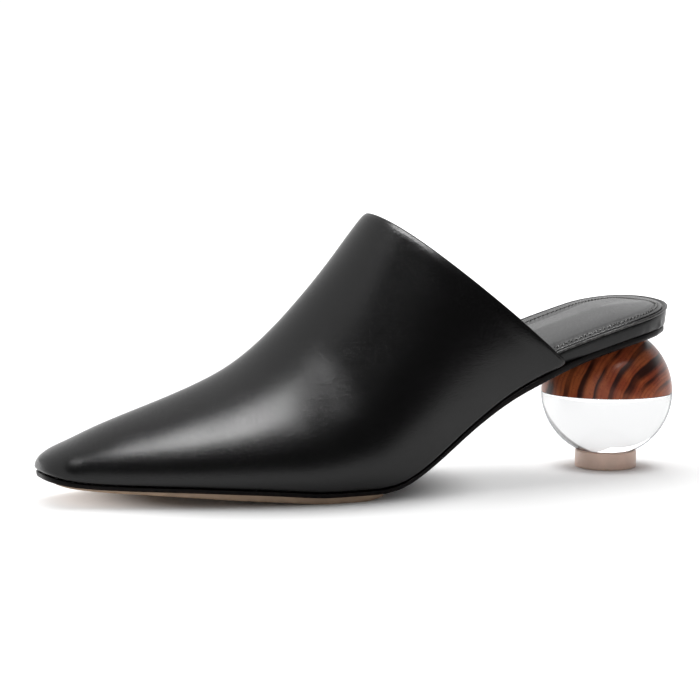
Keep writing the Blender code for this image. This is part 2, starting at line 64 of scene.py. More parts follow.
# The last's edge from above: half widths to each side of the middle line, as shares of the ball width.
OUTLINE = table(
    ("along", "outer", "inner"),
    (0.000, 0.148, 0.172),
    (0.036, 0.192, 0.212),
    (0.080, 0.250, 0.262),
    (0.140, 0.322, 0.325),
    (0.200, 0.386, 0.380),
    (0.280, 0.460, 0.444),
    (0.345, 0.500, 0.478),
    (0.395, 0.515, 0.482),
    (0.445, 0.510, 0.455),
    (0.520, 0.470, 0.396),
    (0.600, 0.420, 0.357),
    (0.680, 0.383, 0.345),
    (0.760, 0.364, 0.355),
    (0.820, 0.366, 0.366),
    (0.890, 0.374, 0.374),
    (1.000, 0.374, 0.374),
)

# The outsole's underside from the side: the toe's lift and the rise to the heel, as shares of their sizes.
PROFILE = table(
    ("along", "spring", "rise"),
    (0.000, 1.000, 0.000),
    (0.017, 0.850, 0.000),
    (0.042, 0.700, 0.000),
    (0.094, 0.570, 0.000),
    (0.173, 0.460, 0.000),
    (0.237, 0.350, 0.000),
    (0.302, 0.210, 0.000),
    (0.345, 0.080, 0.000),
    (0.375, 0.000, 0.000),
    (0.455, 0.000, 0.000),
    (0.485, 0.000, 0.014),
    (0.510, 0.000, 0.055),
    (0.545, 0.000, 0.153),
    (0.580, 0.000, 0.272),
    (0.615, 0.000, 0.399),
    (0.650, 0.000, 0.513),
    (0.685, 0.000, 0.614),
    (0.720, 0.000, 0.696),
    (0.760, 0.000, 0.775),
    (0.810, 0.000, 0.857),
    (0.860, 0.000, 0.935),
    (0.905, 0.000, 1.000),
    (0.950, 0.000, 1.040),
    (1.000, 0.000, 1.062),
)

# The upper's sections, from behind the toe's corners to the top line, as shares of the last's sizes.
SECTIONS = table(
    ("foot", "top", "rise", "side", "wall", "crown", "swell"),
    (0.036, 0.036, 0.121, 0.012, 0.50, 0.62, 0.004),
    (0.088, 0.090, 0.193, 0.018, 0.48, 0.50, 0.010),
    (0.152, 0.160, 0.260, 0.026, 0.47, 0.42, 0.014),
    (0.224, 0.231, 0.333, 0.034, 0.48, 0.38, 0.018),
    (0.296, 0.288, 0.407, 0.040, 0.52, 0.37, 0.024),
    (0.368, 0.330, 0.490, 0.042, 0.56, 0.38, 0.030),
    (0.440, 0.365, 0.579, 0.040, 0.60, 0.40, 0.036),
    (0.515, 0.398, 0.668, 0.036, 0.63, 0.42, 0.040),
    (0.590, 0.430, 0.761, 0.032, 0.66, 0.44, 0.040),
    (0.660, 0.460, 0.857, 0.028, 0.68, 0.46, 0.038),
    (0.722, 0.484, 0.932, 0.025, 0.70, 0.48, 0.034),
    (0.779, 0.504, 0.978, 0.022, 0.72, 0.50, 0.028),
)

# The tread's thickness from its front end to its back end, as a share of its full thickness.
TREAD = table(
    ("along", "share"),
    (0.000, 0.25),
    (0.060, 0.28),
    (0.110, 0.38),
    (0.170, 0.62),
    (0.235, 0.88),
    (0.300, 1.00),
    (0.450, 1.00),
    (0.472, 0.75),
    (0.500, 0.25),
)

# How far the layers have grown from their toe values to their heel values, the arch, and the pad's crown.
LAYERS = table(
    ("along", "outsole", "insole", "arch", "crown"),
    (0.000, 0.25, 0.00, 0.00, 0.00),
    (0.060, 0.00, 0.00, 0.00, 0.00),
    (0.450, 0.00, 0.00, 0.00, 0.00),
    (0.600, 0.25, 0.45, 0.70, 0.35),
    (0.720, 0.75, 0.90, 1.00, 0.80),
    (0.810, 1.00, 1.00, 0.92, 1.00),
    (0.900, 1.00, 1.00, 0.77, 1.00),
    (0.930, 1.00, 1.06, 0.76, 1.00),
    (0.965, 1.00, 1.30, 0.75, 1.00),
    (1.000, 1.00, 1.58, 0.75, 1.00),
)

# The sock's height over the insole across its edge: the cut edge sunk behind the bead, the margin, the start
# of the pad. Both columns are millimetres, inset from the last's edge.
SOCK_EDGE = table(
    ("inset", "height"),
    (4.25, -0.90),
    (4.32, -0.50),
    (4.44, -0.20),
    (4.70, -0.03),
    (5.10, 0.05),
    (6.00, 0.10),
    (7.75, 0.14),
    (9.40, 0.34),
    (13.4, 0.40),
)

# The wrapped band of the insole, as a closed hoop: inset from the last's edge, height as a share of the
# band's height, and millimetres added to that height.
BAND_HOOP = table(
    ("inset", "share", "add"),
    (3.70, 0.00, 0.00),
    (3.30, 0.16, 0.00),
    (2.98, 0.38, 0.00),
    (2.82, 0.62, -0.30),
    (2.80, 1.00, -1.52),
    (2.92, 1.00, -1.24),
    (2.84, 1.00, -1.16),
    (2.60, 1.00, -1.02),
    (2.40, 1.00, -0.84),
    (2.30, 1.00, -0.58),
    (2.36, 1.00, -0.30),
    (2.54, 1.00, -0.08),
    (2.82, 1.00, 0.04),
    (3.12, 1.00, -0.02),
    (3.36, 1.00, -0.20),
    (3.52, 1.00, -0.46),
    (3.66, 1.00, -0.66),
    (3.95, 1.00, -0.74),
    (4.30, 1.00, -0.70),
    (5.60, 1.00, -0.70),
    (5.60, 0.00, 0.40),
    (4.60, 0.00, 0.00),
)


def number(name, description, value, **more):
    return FloatProperty(name=name, description=description, default=value, **more)


def length(name, description, millimetres):
    """A size in the sidebar, given in millimetres and kept in metres."""
    return number(name, description, millimetres * MM, unit="LENGTH", subtype="DISTANCE", precision=5)


def angle(name, description, degrees):
    return number(name, description, math.radians(degrees), unit="ROTATION", subtype="ANGLE")


def colour(name, description, value):
    return FloatVectorProperty(
        name=name, description=description, default=value, size=3, min=0, max=1, subtype="COLOR"
    )


def share(name, description, value):
    return number(name, description, value, min=0, max=1, subtype="FACTOR")


def across_box(node, axis):
    """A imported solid's size along an axis, in millimetres."""
    low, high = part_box(node)
    return (high[axis] - low[axis]) / MM


class MuleLast(bpy.types.PropertyGroup):
    """Sizes of the last that the upper and the sole are drawn on."""

    shoe_length: length("Shoe length", "From the toe tip to the back of the last", 247)
    heel_axis_from_back: length("Heel axis from back", "From the back of the last to the ball's axis", 23.5)
    ball_width: length("Ball width", "Width that the outline's shares are taken of", 78)
    toe_corner_length: length("Toe corner length", "Length over which the square toe rounds off", 9)
    toe_squareness: number("Toe squareness", "2 is round, more is squarer", 2.7)
    heel_curve_length: length("Heel curve length", "Length over which the back rounds off", 29)
    heel_roundness: number("Heel roundness", "2 is round, more is squarer", 2.15)
    toe_spring: length("Toe spring", "How far the toe lifts off the floor", 6.6)
    instep_height: length("Instep height", "Height that the sections' shares are taken of", 95)
    toe_front_share: share("Toe front share", "Height of the very front, as a share of the toe's", 0.50)
    top_line_bow: number("Top line bow", "1 is a straight top line", 1.03)
    upper_wall: length("Upper wall", "Thickness of leather, stiffening and lining together", 2)
    skin: length("Outer leather", "Thickness of the outer leather and stiffening without the lining", 1.15)
    turned_edge: length("Turned edge", "How far the outer leather is turned in over the top line", 2.4)
    feather_tuck: length("Feather tuck", "Radius where the upper turns under at the sole", 1.3)
    edge_roll: length("Edge roll", "How far the top line's outer face rolls inwards", 0.32)
    rear_corner: length("Rear corner", "Radius of the upper's lower rear corners", 2.6)


class MuleSole(bpy.types.PropertyGroup):
    """Sizes of the layers under the foot."""

    tread_thickness: length("Tread thickness", "Forefoot tread at its thickest", 1.9)
    outsole_heel: length("Outsole at heel", "Outsole thickness under the heel", 2.8)
    outsole_toe: length("Outsole in front", "Outsole thickness under the forefoot", 1.5)
    insole_heel: length("Insole at heel", "Height of the wrapped band at the heel's outer side", 5.95)
    insole_toe: length("Insole in front", "Height of the wrapped band in front", 2.6)
    arch_rise: length("Arch rise", "How far the inner edge curls up, before its curl's share", 5.95)
    glue_gap: length("Glue gap", "Clearance between the packed solids", 0.3)
    outsole_inset: length("Outsole inset", "Outsole edge in from the last's edge", 0.3)
    outsole_heel_inset: length("Outsole heel inset", "The same at the heel", 3.6)
    outsole_bevel: length("Outsole bevel", "How far the underside is in from the outsole's edge", 0.4)
    outsole_heel_bevel: length("Outsole heel bevel", "The same at the heel", 1.8)
    tread_inset: length("Tread inset", "Tread edge in from the outsole's underside", 0.2)
    tread_toe_inset: length("Tread toe inset", "The same at the toe tip", 3.4)
    tread_end_arc: length("Tread end arc", "How far the tread's back end is bowed", 9)
    pad_crown: length("Pad crown", "How far the heel pad rises over its shoulder", 1.9)
    seam_inset: length("Seam inset", "The sock's seam, in from the last's edge", 7.70)
    seam_lean: length("Seam lean", "How far the seam is moved, outwards on the outer side and in on the inner", 1.5)
    margin_climb: length("Margin climb", "How far the outer margin climbs from its edge to the seam", 0.45)
    flange_width: length("Flange width", "From the seam to the pad's crease on the inner side of the waist", 5.2)
    pad_lip: length("Pad lip", "How far the pad's inner edge stands over the flange", 0.90)
    pucker_pitch: length("Pucker pitch", "Length of one stitch of the sock's seam", 1.9)
    sock_start: share("Sock start", "Where the sock begins, as a share of the shoe's length", 0.055)


class MuleHeel(bpy.types.PropertyGroup):
    """Sizes of the ball heel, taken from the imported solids."""

    toplift_diameter: length("Top lift diameter", "Width of the cylinder on the floor", across_box("toplift", 0))
    toplift_height: length("Top lift height", "Height of the cylinder on the floor", across_box("toplift", 2))
    ball_diameter: length("Ball diameter", "Width of the ball at its seam", across_box("heel_clear", 0))
    seat_cut: length("Seat cut", "How much of the ball's top the seat takes away", 4.2)
    seam_round: length("Seam round", "Rounding of both halves at the seam", 0.22)
    ring_pitch: length("Ring pitch", "Distance between the wood's dark rings", 5.4)


class MuleFinish(bpy.types.PropertyGroup):
    """Colours of the finishes."""

    calf: colour("Calf", "Outer leather", (0.0024, 0.0024, 0.0026))
    calf_rubbed: colour("Rubbed calf", "Outer leather where an edge has been rubbed", (0.012, 0.0115, 0.011))
    kid: colour("Kid", "Sock, band and lining leather", (0.021, 0.021, 0.022))
    # On the band's bead this lighter colour is a painted highlight; it also lightens the lining's rubbed top edge and
    # a line along the sock's edge.
    kid_rubbed_and_lit: colour("Rubbed kid", "Sock and band where an edge has been rubbed", (0.130, 0.127, 0.124))
    ink: colour("Edge ink", "Painted edge and underside of the outsole", (0.0028, 0.0028, 0.0030))
    # Also draws a thin pinkish line along the outsole's lower edge at the heel.
    ink_pale_brown: colour("Rubbed ink", "Outsole where the paint is thin", (0.20, 0.125, 0.105))
    tan: colour("Sole leather", "Forefoot tread", (0.40, 0.275, 0.185))
    # Darkens the tread's sanding marks, and its edge towards the foot as burnished leather with painted shade.
    tan_burnished_and_shaded: colour("Dark sole leather", "Burnished edge of the tread", (0.20, 0.135, 0.085))
    wood_light: colour("Light wood", "Wood between its rings", (0.430, 0.110, 0.036))
    wood_red: colour("Red wood", "Wood beside its rings", (0.270, 0.052, 0.022))
    wood_dark: colour("Dark wood", "The rings", (0.012, 0.0045, 0.0050))
    nude: colour("Nude rubber", "Top lift", (0.80, 0.585, 0.480))
    thread: colour("Thread", "Stitches", (0.200, 0.197, 0.192))


class MuleStage(bpy.types.PropertyGroup):
    """Camera and light."""

    azimuth: angle("Azimuth", "Camera's turn round the shoe", -22.273)
    elevation: angle("Elevation", "Camera's height over the horizon", 6.699)
    roll: angle("Roll", "Camera's roll", 0.257)
    distance: length("Distance", "From the camera to the point it looks at", 890.865)
    aim_x: length("Aim X", "Point that the camera looks at", -106.283)
    aim_z: length("Aim Z", "Point that the camera looks at", 49.133)
    lens: number("Lens", "Focal length on a 36 mm sensor", 125.25, unit="CAMERA")
    pale: number("Backdrop", "Brightness of the backdrop", 1.08)
    room: number("Dark room", "Brightness of the room over the camera", 0.05)
    softbox: number("Softbox", "Power of the softbox that the gloss shows", 7.9)
    fill: number("Fill", "Power of the wide overhead light", 10.5)
    floor_reach: length("Floor reach", "Half width of the floor", 1600)
    floor_glow_near: length("Floor glow from", "Where the floor starts to melt into the backdrop", 330)
    floor_glow_far: length("Floor glow to", "Where the floor is as pale as the backdrop", 900)


def sizes(part):
    """The sizes of the last, sole, heel, finish or stage that the sidebar holds."""
    return getattr(bpy.context.scene, "mule_" + part)


# ---- the last's curves

# Where the middle line ends, in from the toe tip and from the back of the last.
SPINE_FRONT, SPINE_BACK = 14 * MM, 28 * MM


def plain_curve(rows, column, at, along):
    """A column's value on a smooth curve through its rows, that never overshoots them."""
    x, y = rows[along], rows[column]
    step, slope = np.diff(x), np.diff(y) / np.diff(x)
    tangent = np.zeros_like(y)
    tangent[0], tangent[-1] = slope[0], slope[-1]
    for i in range(1, len(x) - 1):
        before, after = slope[i - 1], slope[i]
        if before * after > 0:
            far, near = 2 * step[i] + step[i - 1], step[i] + 2 * step[i - 1]
            tangent[i] = (far + near) / (far / before + near / after)
    i = np.clip(np.searchsorted(x, at, side="right") - 1, 0, len(x) - 2)
    h = step[i]
    t = (at - x[i]) / h
    return (
        (2 * t**3 - 3 * t**2 + 1) * y[i]
        + (t**3 - 2 * t**2 + t) * h * tangent[i]
        + (3 * t**2 - 2 * t**3) * y[i + 1]
        + (t**3 - t**2) * h * tangent[i + 1]
    )


def curve(rows, column, at, along="along", ease=0.010):
    """The same with its bends eased over a short stretch, so that a reflection runs over it without a kink."""
    at = np.asarray(at, float)
    low, high = rows[along][0], rows[along][-1]
    at = np.clip(at, low, high)
    if not ease:
        return plain_curve(rows, column, at, along)
    total, weights = 0.0, 0.0
    for shift in np.linspace(-2, 2, 9):
        weight = math.exp(-(shift**2) / 2)
        place = at + shift * ease
        mirrored = np.where(place < low, 2 * low - place, np.where(place > high, 2 * high - place, place))
        value = plain_curve(rows, column, np.clip(mirrored, low, high), along)
        end = np.where(place < low, rows[column][0], rows[column][-1])
        beyond = (place < low) | (place > high)
        total = total + weight * np.where(beyond, 2 * end - value, value)
        weights += weight
    return total / weights


def ball_centre_z():
    heel, sole = sizes("heel"), sizes("sole")
    radius, foot = heel.ball_diameter / 2, heel.toplift_diameter / 2
    return heel.toplift_height + sole.glue_gap + math.sqrt(radius**2 - foot**2)


def tread_level():
    sole = sizes("sole")
    return sole.tread_thickness + sole.glue_gap


def heel_axis():
    last = sizes("last")
    return last.shoe_length - last.heel_axis_from_back


def world_x(distance):
    """The X of a point this far behind the toe tip."""
    return distance - heel_axis()


def along_shoe(distance):
    """A distance behind the toe tip as a share of the shoe's length."""
    return distance / sizes("last").shoe_length


def from_toe(points):
    """How far behind the toe tip each point lies."""
    return points[..., 0] + heel_axis()


def unit(vectors):
    return vectors / np.linalg.norm(vectors, axis=-1, keepdims=True)


def square_to(vectors, ways):
    """Unit vectors with what lies along ways taken out."""
    return unit(vectors - ways * (vectors * ways).sum(axis=1, keepdims=True))


def run_of(line):
    """How far along a line each of its points lies."""
    return np.concatenate([[0], np.cumsum(np.linalg.norm(np.diff(line, axis=0), axis=1))])


def read_along(places, run, values):
    """Each column of values, known at run, read at places."""
    return np.stack([np.interp(places, run, column) for column in values.T], axis=1)


def raised(flat, heights):
    """X, Y points with a height for each."""
    return np.concatenate([flat, heights[:, None]], axis=1)


def bend(t, start, corner_at, end):
    """A place on the soft bend that leaves start and reaches end, drawn towards a corner."""
    return (1 - t) ** 2 * start + 2 * t * (1 - t) * corner_at + t**2 * end


def corner(distance, reach, power):
    """How wide a rounded end is at a distance from its tip, from 0 at the tip to 1 past its curve."""
    near = np.clip(distance / reach, 0, 1)
    return (1 - (1 - near) ** power) ** (1 / power)


def corner_steps(reach, power, count):
    turn = np.linspace(0, math.pi / 2, count + 1)
    return reach * (1 - np.cos(turn) ** (2 / power))


def edge_y(distance, side):
    """The Y of the last's edge, on the outer side (-1) or the inner side (1)."""
    last, along = sizes("last"), along_shoe(distance)
    outer = curve(OUTLINE, "outer", along) * last.ball_width
    inner = curve(OUTLINE, "inner", along) * last.ball_width
    ends = corner(distance, last.toe_corner_length, last.toe_squareness) * corner(
        last.shoe_length - distance, last.heel_curve_length, last.heel_roundness
    )
    return (inner - outer) / 2 + side * (inner + outer) / 2 * ends


def edge_points(distances, side):
    return np.stack([world_x(distances), edge_y(distances, side)], axis=1)


def underside_z(distance):
    """The height of the outsole's underside, which is level across."""
    last, heel = sizes("last"), sizes("heel")
    along = along_shoe(distance)
    heel_rise = ball_centre_z() + heel.ball_diameter / 2 - heel.seat_cut
    rise = curve(PROFILE, "rise", along) * (heel_rise - tread_level())
    return tread_level() + curve(PROFILE, "spring", along) * last.toe_spring + rise


def outsole_top_z(distance):
    sole = sizes("sole")
    grown = curve(LAYERS, "outsole", along_shoe(distance))
    return underside_z(distance) + sole.outsole_toe + grown * (sole.outsole_heel - sole.outsole_toe)


def insole_bottom_z(distance):
    return outsole_top_z(distance) + sizes("sole").glue_gap


def insole_top_z(distance, y):
    """The height of the insole's top, which rises across the foot towards the arch."""
    sole, last = sizes("sole"), sizes("last")
    grown = curve(LAYERS, "insole", along_shoe(distance))
    arch = curve(LAYERS, "arch", along_shoe(distance)) * sole.arch_rise
    band = sole.insole_toe + grown * (sole.insole_heel - sole.insole_toe)
    return insole_bottom_z(distance) + band + arch * np.clip(0.5 + y / last.ball_width, 0, 1) ** 3


def last_edge(start=0.0, step=0.5 * MM):
    """The last's edge from the front at start, down the outer side, round the back and forward again.

    Gives X, Y points at even steps, the way inwards at each, and how far along the line each lies.
    """
    last = sizes("last")
    front = corner_steps(last.toe_corner_length, last.toe_squareness, 60)
    back = last.shoe_length - corner_steps(last.heel_curve_length, last.heel_roundness, 90)[::-1]
    distances = np.concatenate([front, np.linspace(front[-1], back[0], 400)[1:-1], back])
    first = start * last.shoe_length
    distances = np.concatenate([[first], distances[distances > first + 0.05 * MM]])
    line = np.concatenate([edge_points(distances, -1), edge_points(distances, 1)[::-1][1:]])
    run = run_of(line)
    places = np.linspace(0, run[-1], int(run[-1] / step) + 1)
    line = read_along(places, run, line)
    way = np.gradient(line, axis=0)
    if start == 0:
        way[0] = way[-1] = (0, -1)
    for _ in range(3):
        way[1:-1] = (way[:-2] + 2 * way[1:-1] + way[2:]) / 4
    way = unit(way)
    return line, np.stack([-way[:, 1], way[:, 0]], axis=1), places


def spine_of(line, start=0.0):
    """The point of the middle line that each point of the last's edge looks towards."""
    last = sizes("last")
    front = start * last.shoe_length if start else SPINE_FRONT
    distance = np.clip(from_toe(line), front, last.shoe_length - SPINE_BACK)
    middle = (edge_y(distance, -1) + edge_y(distance, 1)) / 2
    return np.stack([world_x(distance), middle], axis=1)


# ---- meshes


def grid_faces(rows, count, closed=False, start=0):
    """Quads between each row of count points and the next."""
    row, column = np.meshgrid(np.arange(rows - 1), np.arange(count if closed else count - 1), indexing="ij")
    a = start + row * count + column
    b = start + row * count + (column + 1) % count
    return np.stack([a, b, b + count, a + count], axis=-1).reshape(-1, 4)


def add_piece(name, points, faces, material, node=None, sharp=60, masks=None):
    """A closed mesh that rides on the shoe, with doubled points merged and its faces turned outwards."""
    mesh = bpy.data.meshes.new(name)
    mesh.from_pydata(np.asarray(points, float).reshape(-1, 3).tolist(), [], [tuple(f) for f in faces])
    for mask, values in (masks or {}).items():
        layer = mesh.attributes.new(mask, "FLOAT", "POINT")
        layer.data.foreach_set("value", np.asarray(values, np.float32).ravel())
    shape = bmesh.new()
    shape.from_mesh(mesh)
    bmesh.ops.remove_doubles(shape, verts=shape.verts, dist=0.008 * MM)
    bmesh.ops.dissolve_degenerate(shape, edges=shape.edges, dist=0.002 * MM)
    bmesh.ops.recalc_face_normals(shape, faces=shape.faces)
    shape.to_mesh(mesh)
    shape.free()
    mesh.materials.append(material)
    mesh.shade_smooth()
    mesh.set_sharp_from_angle(angle=math.radians(sharp))
    piece = bpy.data.objects.new(name, mesh)
    bpy.context.scene.collection.objects.link(piece)
    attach(piece, "root")
    if node:
        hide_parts(node)
    return piece


def capped(hoops):
    """The faces of a row of closed hoops, with both of its ends closed."""
    rows, count = hoops.shape[:2]
    ends = [range(count), range((rows - 1) * count, rows * count)]
    return grid_faces(rows, count, closed=True).tolist() + ends


def ripple(points, wavelength, seed, waves=10):
    """A gentle random swell over points, about -1 to 1, the same each run."""
    draw = np.random.default_rng(seed)
    total = np.zeros(points.shape[:-1])
    for _ in range(waves):
        way = draw.normal(size=3)
        way *= 2 * math.pi / (wavelength * draw.uniform(0.7, 1.6) * np.linalg.norm(way))
        total += np.sin(points @ way + draw.uniform(0, 2 * math.pi))
    return total / math.sqrt(waves / 2) / 1.6


def ease(value):
    """0 below 0, 1 above 1, and a smooth step between."""
    value = np.clip(value, 0, 1)
    return value * value * (3 - 2 * value)


def bell(value):
    """1 at 0, falling off evenly to both sides."""
    return np.exp(-(value**2))


def add_stitches(name, places, ways, ups, stitch_length, thickness, material):
    """Short round-ended threads, each lying along its way and pressed into its place."""
    turns = np.linspace(0, 2 * math.pi, 8, endpoint=False)
    # Where each ring lies along the stitch, how fat it is there, and how far its ends dip into the leather.
    along = [-0.5, -0.42, -0.22, 0.0, 0.22, 0.42, 0.5]
    fat = [0.12, 0.62, 0.92, 1.0, 0.92, 0.62, 0.12]
    sag = [-0.75, -0.35, 0.0, 0.12, 0.0, -0.35, -0.75]
    points, faces = [], []
    sides = np.cross(ways, ups)
    for i in range(len(places)):
        for k in range(len(along)):
            middle = places[i] + ways[i] * along[k] * stitch_length + ups[i] * sag[k] * thickness
            ring = np.outer(np.cos(turns), sides[i]) + np.outer(np.sin(turns), ups[i])
            points.append(middle + ring * fat[k] * thickness / 2)
        start = i * len(along) * len(turns)
        faces += grid_faces(len(along), len(turns), closed=True, start=start).tolist()
        faces.append(tuple(range(start, start + len(turns))))
        last_ring = start + (len(along) - 1) * len(turns)
        faces.append(tuple(range(last_ring, last_ring + len(turns))))
    return add_piece(name, np.concatenate(points), faces, material)


# ---- the upper


def upper_rows(row_steps=14, cap_steps=16, last_steps=26):
    """The upper's sections as one array for each column, finer towards the top line."""
    last = sizes("last")
    front = corner_steps(last.toe_corner_length, last.toe_squareness, cap_steps)[:-1] / last.shoe_length
    count = len(SECTIONS["foot"])
    place = np.linspace(0, count - 2, (count - 2) * row_steps + 1)
    final = count - 2 + (1 - (1 - np.linspace(0, 1, last_steps + 1)[1:]) ** 1.5)
    place = np.concatenate([place, final])
    numbered = {**SECTIONS, "row": np.arange(count, dtype=float)}
    rows = {name: curve(numbered, name, place, along="row", ease=0.38) for name in SECTIONS}
    joined = {name: np.concatenate([np.full(len(front), rows[name][0]), rows[name]]) for name in rows}
    joined["foot"][: len(front)] = front
    joined["top"][: len(front)] = front
    slope = (SECTIONS["rise"][1] - SECTIONS["rise"][0]) / (SECTIONS["top"][1] - SECTIONS["top"][0])
    joined["rise"][: len(front)] = rows["rise"][0] + slope * (front - rows["foot"][0])
    toe = corner(joined["foot"] * last.shoe_length, last.toe_corner_length, 2)
    joined["rise"] *= last.toe_front_share + (1 - last.toe_front_share) * toe
    return joined


def side_steps(count):
    """Places round one side of a section, closer together just over the feather edge."""
    return np.concatenate([np.linspace(0, 0.025, 9)[:-1], np.linspace(0.025, 1, count)])


def edge_offsets(distances, inset=0.0):
    """The last's edge on both sides at each distance, moved inwards, and the way outwards there."""
    sides = []
    for side in (-1, 1):
        line, other = edge_points(distances, side), edge_points(distances, -side)
        closed = abs(line[0] - other[0]).max() < 1e-9
        before = other[1:2] if closed else 2 * line[:1] - line[1:2]
        whole = np.concatenate([before, line, 2 * line[-1:] - line[-2:-1]])
        along = whole[2:] - whole[:-2]
        outwards = unit(np.stack([-along[:, 1], along[:, 0]], axis=1) * side)
        sides.append((line - outwards * np.reshape(inset, (-1, 1)), outwards))
    return sides


def upper_grid(rows, steps):
    """The upper's outer face as sections by points, from the outer foot over the ridge to the inner foot."""
    last, sole = sizes("last"), sizes("sole")
    feet = rows["foot"] * last.shoe_length
    sides = edge_offsets(feet)
    grid = []
    foot_zs = outsole_top_z(feet) + sole.glue_gap
    ridges = rows["top"] * last.shoe_length
    ridge_zs = outsole_top_z(ridges) + sole.glue_gap + rows["rise"] * last.instep_height
    middles = (edge_y(feet, -1) + edge_y(feet, 1)) / 2
    asides = corner(feet, last.toe_corner_length, last.toe_squareness)
    ridge_ys = middles + asides * (rows["side"] * last.ball_width - middles)
    t = side_steps(steps)
    for i, foot in enumerate(feet):
        out = (1 - t) ** 3 + 3 * (1 - t) ** 2 * t + 3 * (1 - t) * t**2 * rows["crown"][i]
        up = 3 * (1 - t) ** 2 * t * rows["wall"][i] + 3 * (1 - t) * t**2 + t**3
        distance = foot + (ridges[i] - foot) * up**last.top_line_bow
        swell = rows["swell"][i] * last.ball_width * 6.75 * up * (1 - up) ** 2
        z = foot_zs[i] + (ridge_zs[i] - foot_zs[i]) * up
        halves = []
        for side, (_, outwards) in zip((-1, 1), sides):
            y = ridge_ys[i] + (edge_y(distance, side) - ridge_ys[i]) * out
            halves.append(
                np.stack([world_x(distance) + outwards[i, 0] * swell, y + outwards[i, 1] * swell, z], axis=1)
            )
        grid.append(np.concatenate([halves[0], halves[1][-2::-1]]))
    return np.array(grid)


def grid_normals(grid):
    """Outward normals of a grid of points, with those that share a place given one normal."""
    rows, count = grid.shape[:2]
    flat = grid.reshape(-1, 3)
    _, shared = np.unique(np.round(flat / (0.01 * MM)), axis=0, return_inverse=True)
    shared = shared.reshape(-1)
    quads = grid_faces(rows, count)
    a, b, c, d = (flat[quads[:, k]] for k in range(4))
    face = np.cross(c - a, d - b)
    total = np.zeros((shared.max() + 1, 3))
    for k in range(4):
        np.add.at(total, shared[quads[:, k]], face)
    total /= np.maximum(np.linalg.norm(total, axis=1, keepdims=True), 1e-15)
    normals = total[shared].reshape(rows, count, 3)
    return -normals if normals[-1, count // 2, 2] < 0 else normals


def shell_faces(rows, count, rims):
    """Faces of a shell: outer grid, inner grid, rims rows of points over the last row, and its two feet."""
    offset = rows * count
    outer = grid_faces(rows, count)
    faces = [outer, outer[:, ::-1] + offset]
    i = np.arange(rows - 1) * count
    for column in (0, count - 1):
        a, b = i + column, i + count + column
        faces.append(np.stack([a, b, b + offset, a + offset], axis=1))
    strip = [np.arange(offset - count, offset)]
    strip += [2 * offset + k * count + np.arange(count) for k in range(rims)]
    strip += [2 * offset - count + np.arange(count)]
    for low, high in zip(strip[:-1], strip[1:]):
        faces.append(np.stack([low[:-1], low[1:], high[1:], high[:-1]], axis=1))
    faces = [tuple(f) for f in np.concatenate(faces)]
    for column in (0, count - 1):
        faces.append(tuple(int(line[column]) for line in strip))
    return faces


def from_top_line(grid):
    """How far each point lies from the top line, measured over the surface."""
    steps = np.linalg.norm(np.diff(grid, axis=0), axis=2)
    run = np.concatenate([np.zeros((1, grid.shape[1])), np.cumsum(steps, axis=0)])
    return run[-1] - run


# Soft forms that the leather takes over the last: where each lies along the shoe, how far
# round the section (-1 outer foot, 0 ridge, 1 inner foot), its half length and half breadth as the same
# shares, its turn in degrees, and its depth in millimetres.
FORMS = table(
    ("along", "round", "long", "broad", "turn", "depth"),
    (0.30, -0.36, 0.10, 0.10, 20, -0.10),
    (0.47, -0.22, 0.10, 0.12, -30, -0.20),
    (0.60, -0.52, 0.09, 0.11, 35, 0.14),
    (0.42, 0.30, 0.10, 0.12, 25, -0.18),
    (0.62, 0.48, 0.09, 0.10, -30, 0.12),
)

# The folds over the feather edge and the slow waves of the whole vamp.
FOLD_DEPTH, WAVE_DEPTH = 0.035 * MM, 0.030 * MM


def vamp_forms(grid, rows):
    """How far the leather stands in or out of the last's own curve at each point."""
    count = grid.shape[1]
    along = np.repeat(rows["foot"][:, None], count, axis=1)
    rise = grid[..., 2] - grid[:, :1, 2]
    ridge = np.maximum(rise[:, count // 2][:, None], 1e-6)
    side = np.sign(np.arange(count) - count // 2)
    around = side[None, :] * (1 - np.clip(rise / ridge, 0, 1))
    total = np.zeros(grid.shape[:2])
    for i in range(len(FORMS["along"])):
        turn = math.radians(FORMS["turn"][i])
        du, dv = along - FORMS["along"][i], around - FORMS["round"][i]
        u = du * math.cos(turn) + dv * math.sin(turn)
        v = -du * math.sin(turn) + dv * math.cos(turn)
        total += FORMS["depth"][i] * MM * np.exp(-((u / FORMS["long"][i]) ** 2) - (v / FORMS["broad"][i]) ** 2)
    # Small folds where the leather is drawn in over the feather edge, most of all round the toe.
    feather, toe = ease(1 - np.abs(np.abs(around) - 0.93) / 0.10), ease((0.34 - along) / 0.2)
    total += FOLD_DEPTH * feather * (0.35 + 0.65 * toe) * ripple(grid, 7 * MM, seed=11)
    return total + WAVE_DEPTH * ripple(grid, 26 * MM, seed=5)


def over_the_edge(plain):
    """The way that the surface would run on over its top line, at each point of the line."""
    return unit(plain[-1] - plain[-3])


def up_and_down(count):
    """Values that climb from 0 at one foot to 1 at the ridge, and back to 0."""
    climb = np.linspace(0, 1, count // 2 + 1)
    return np.concatenate([climb, climb[-2::-1]])


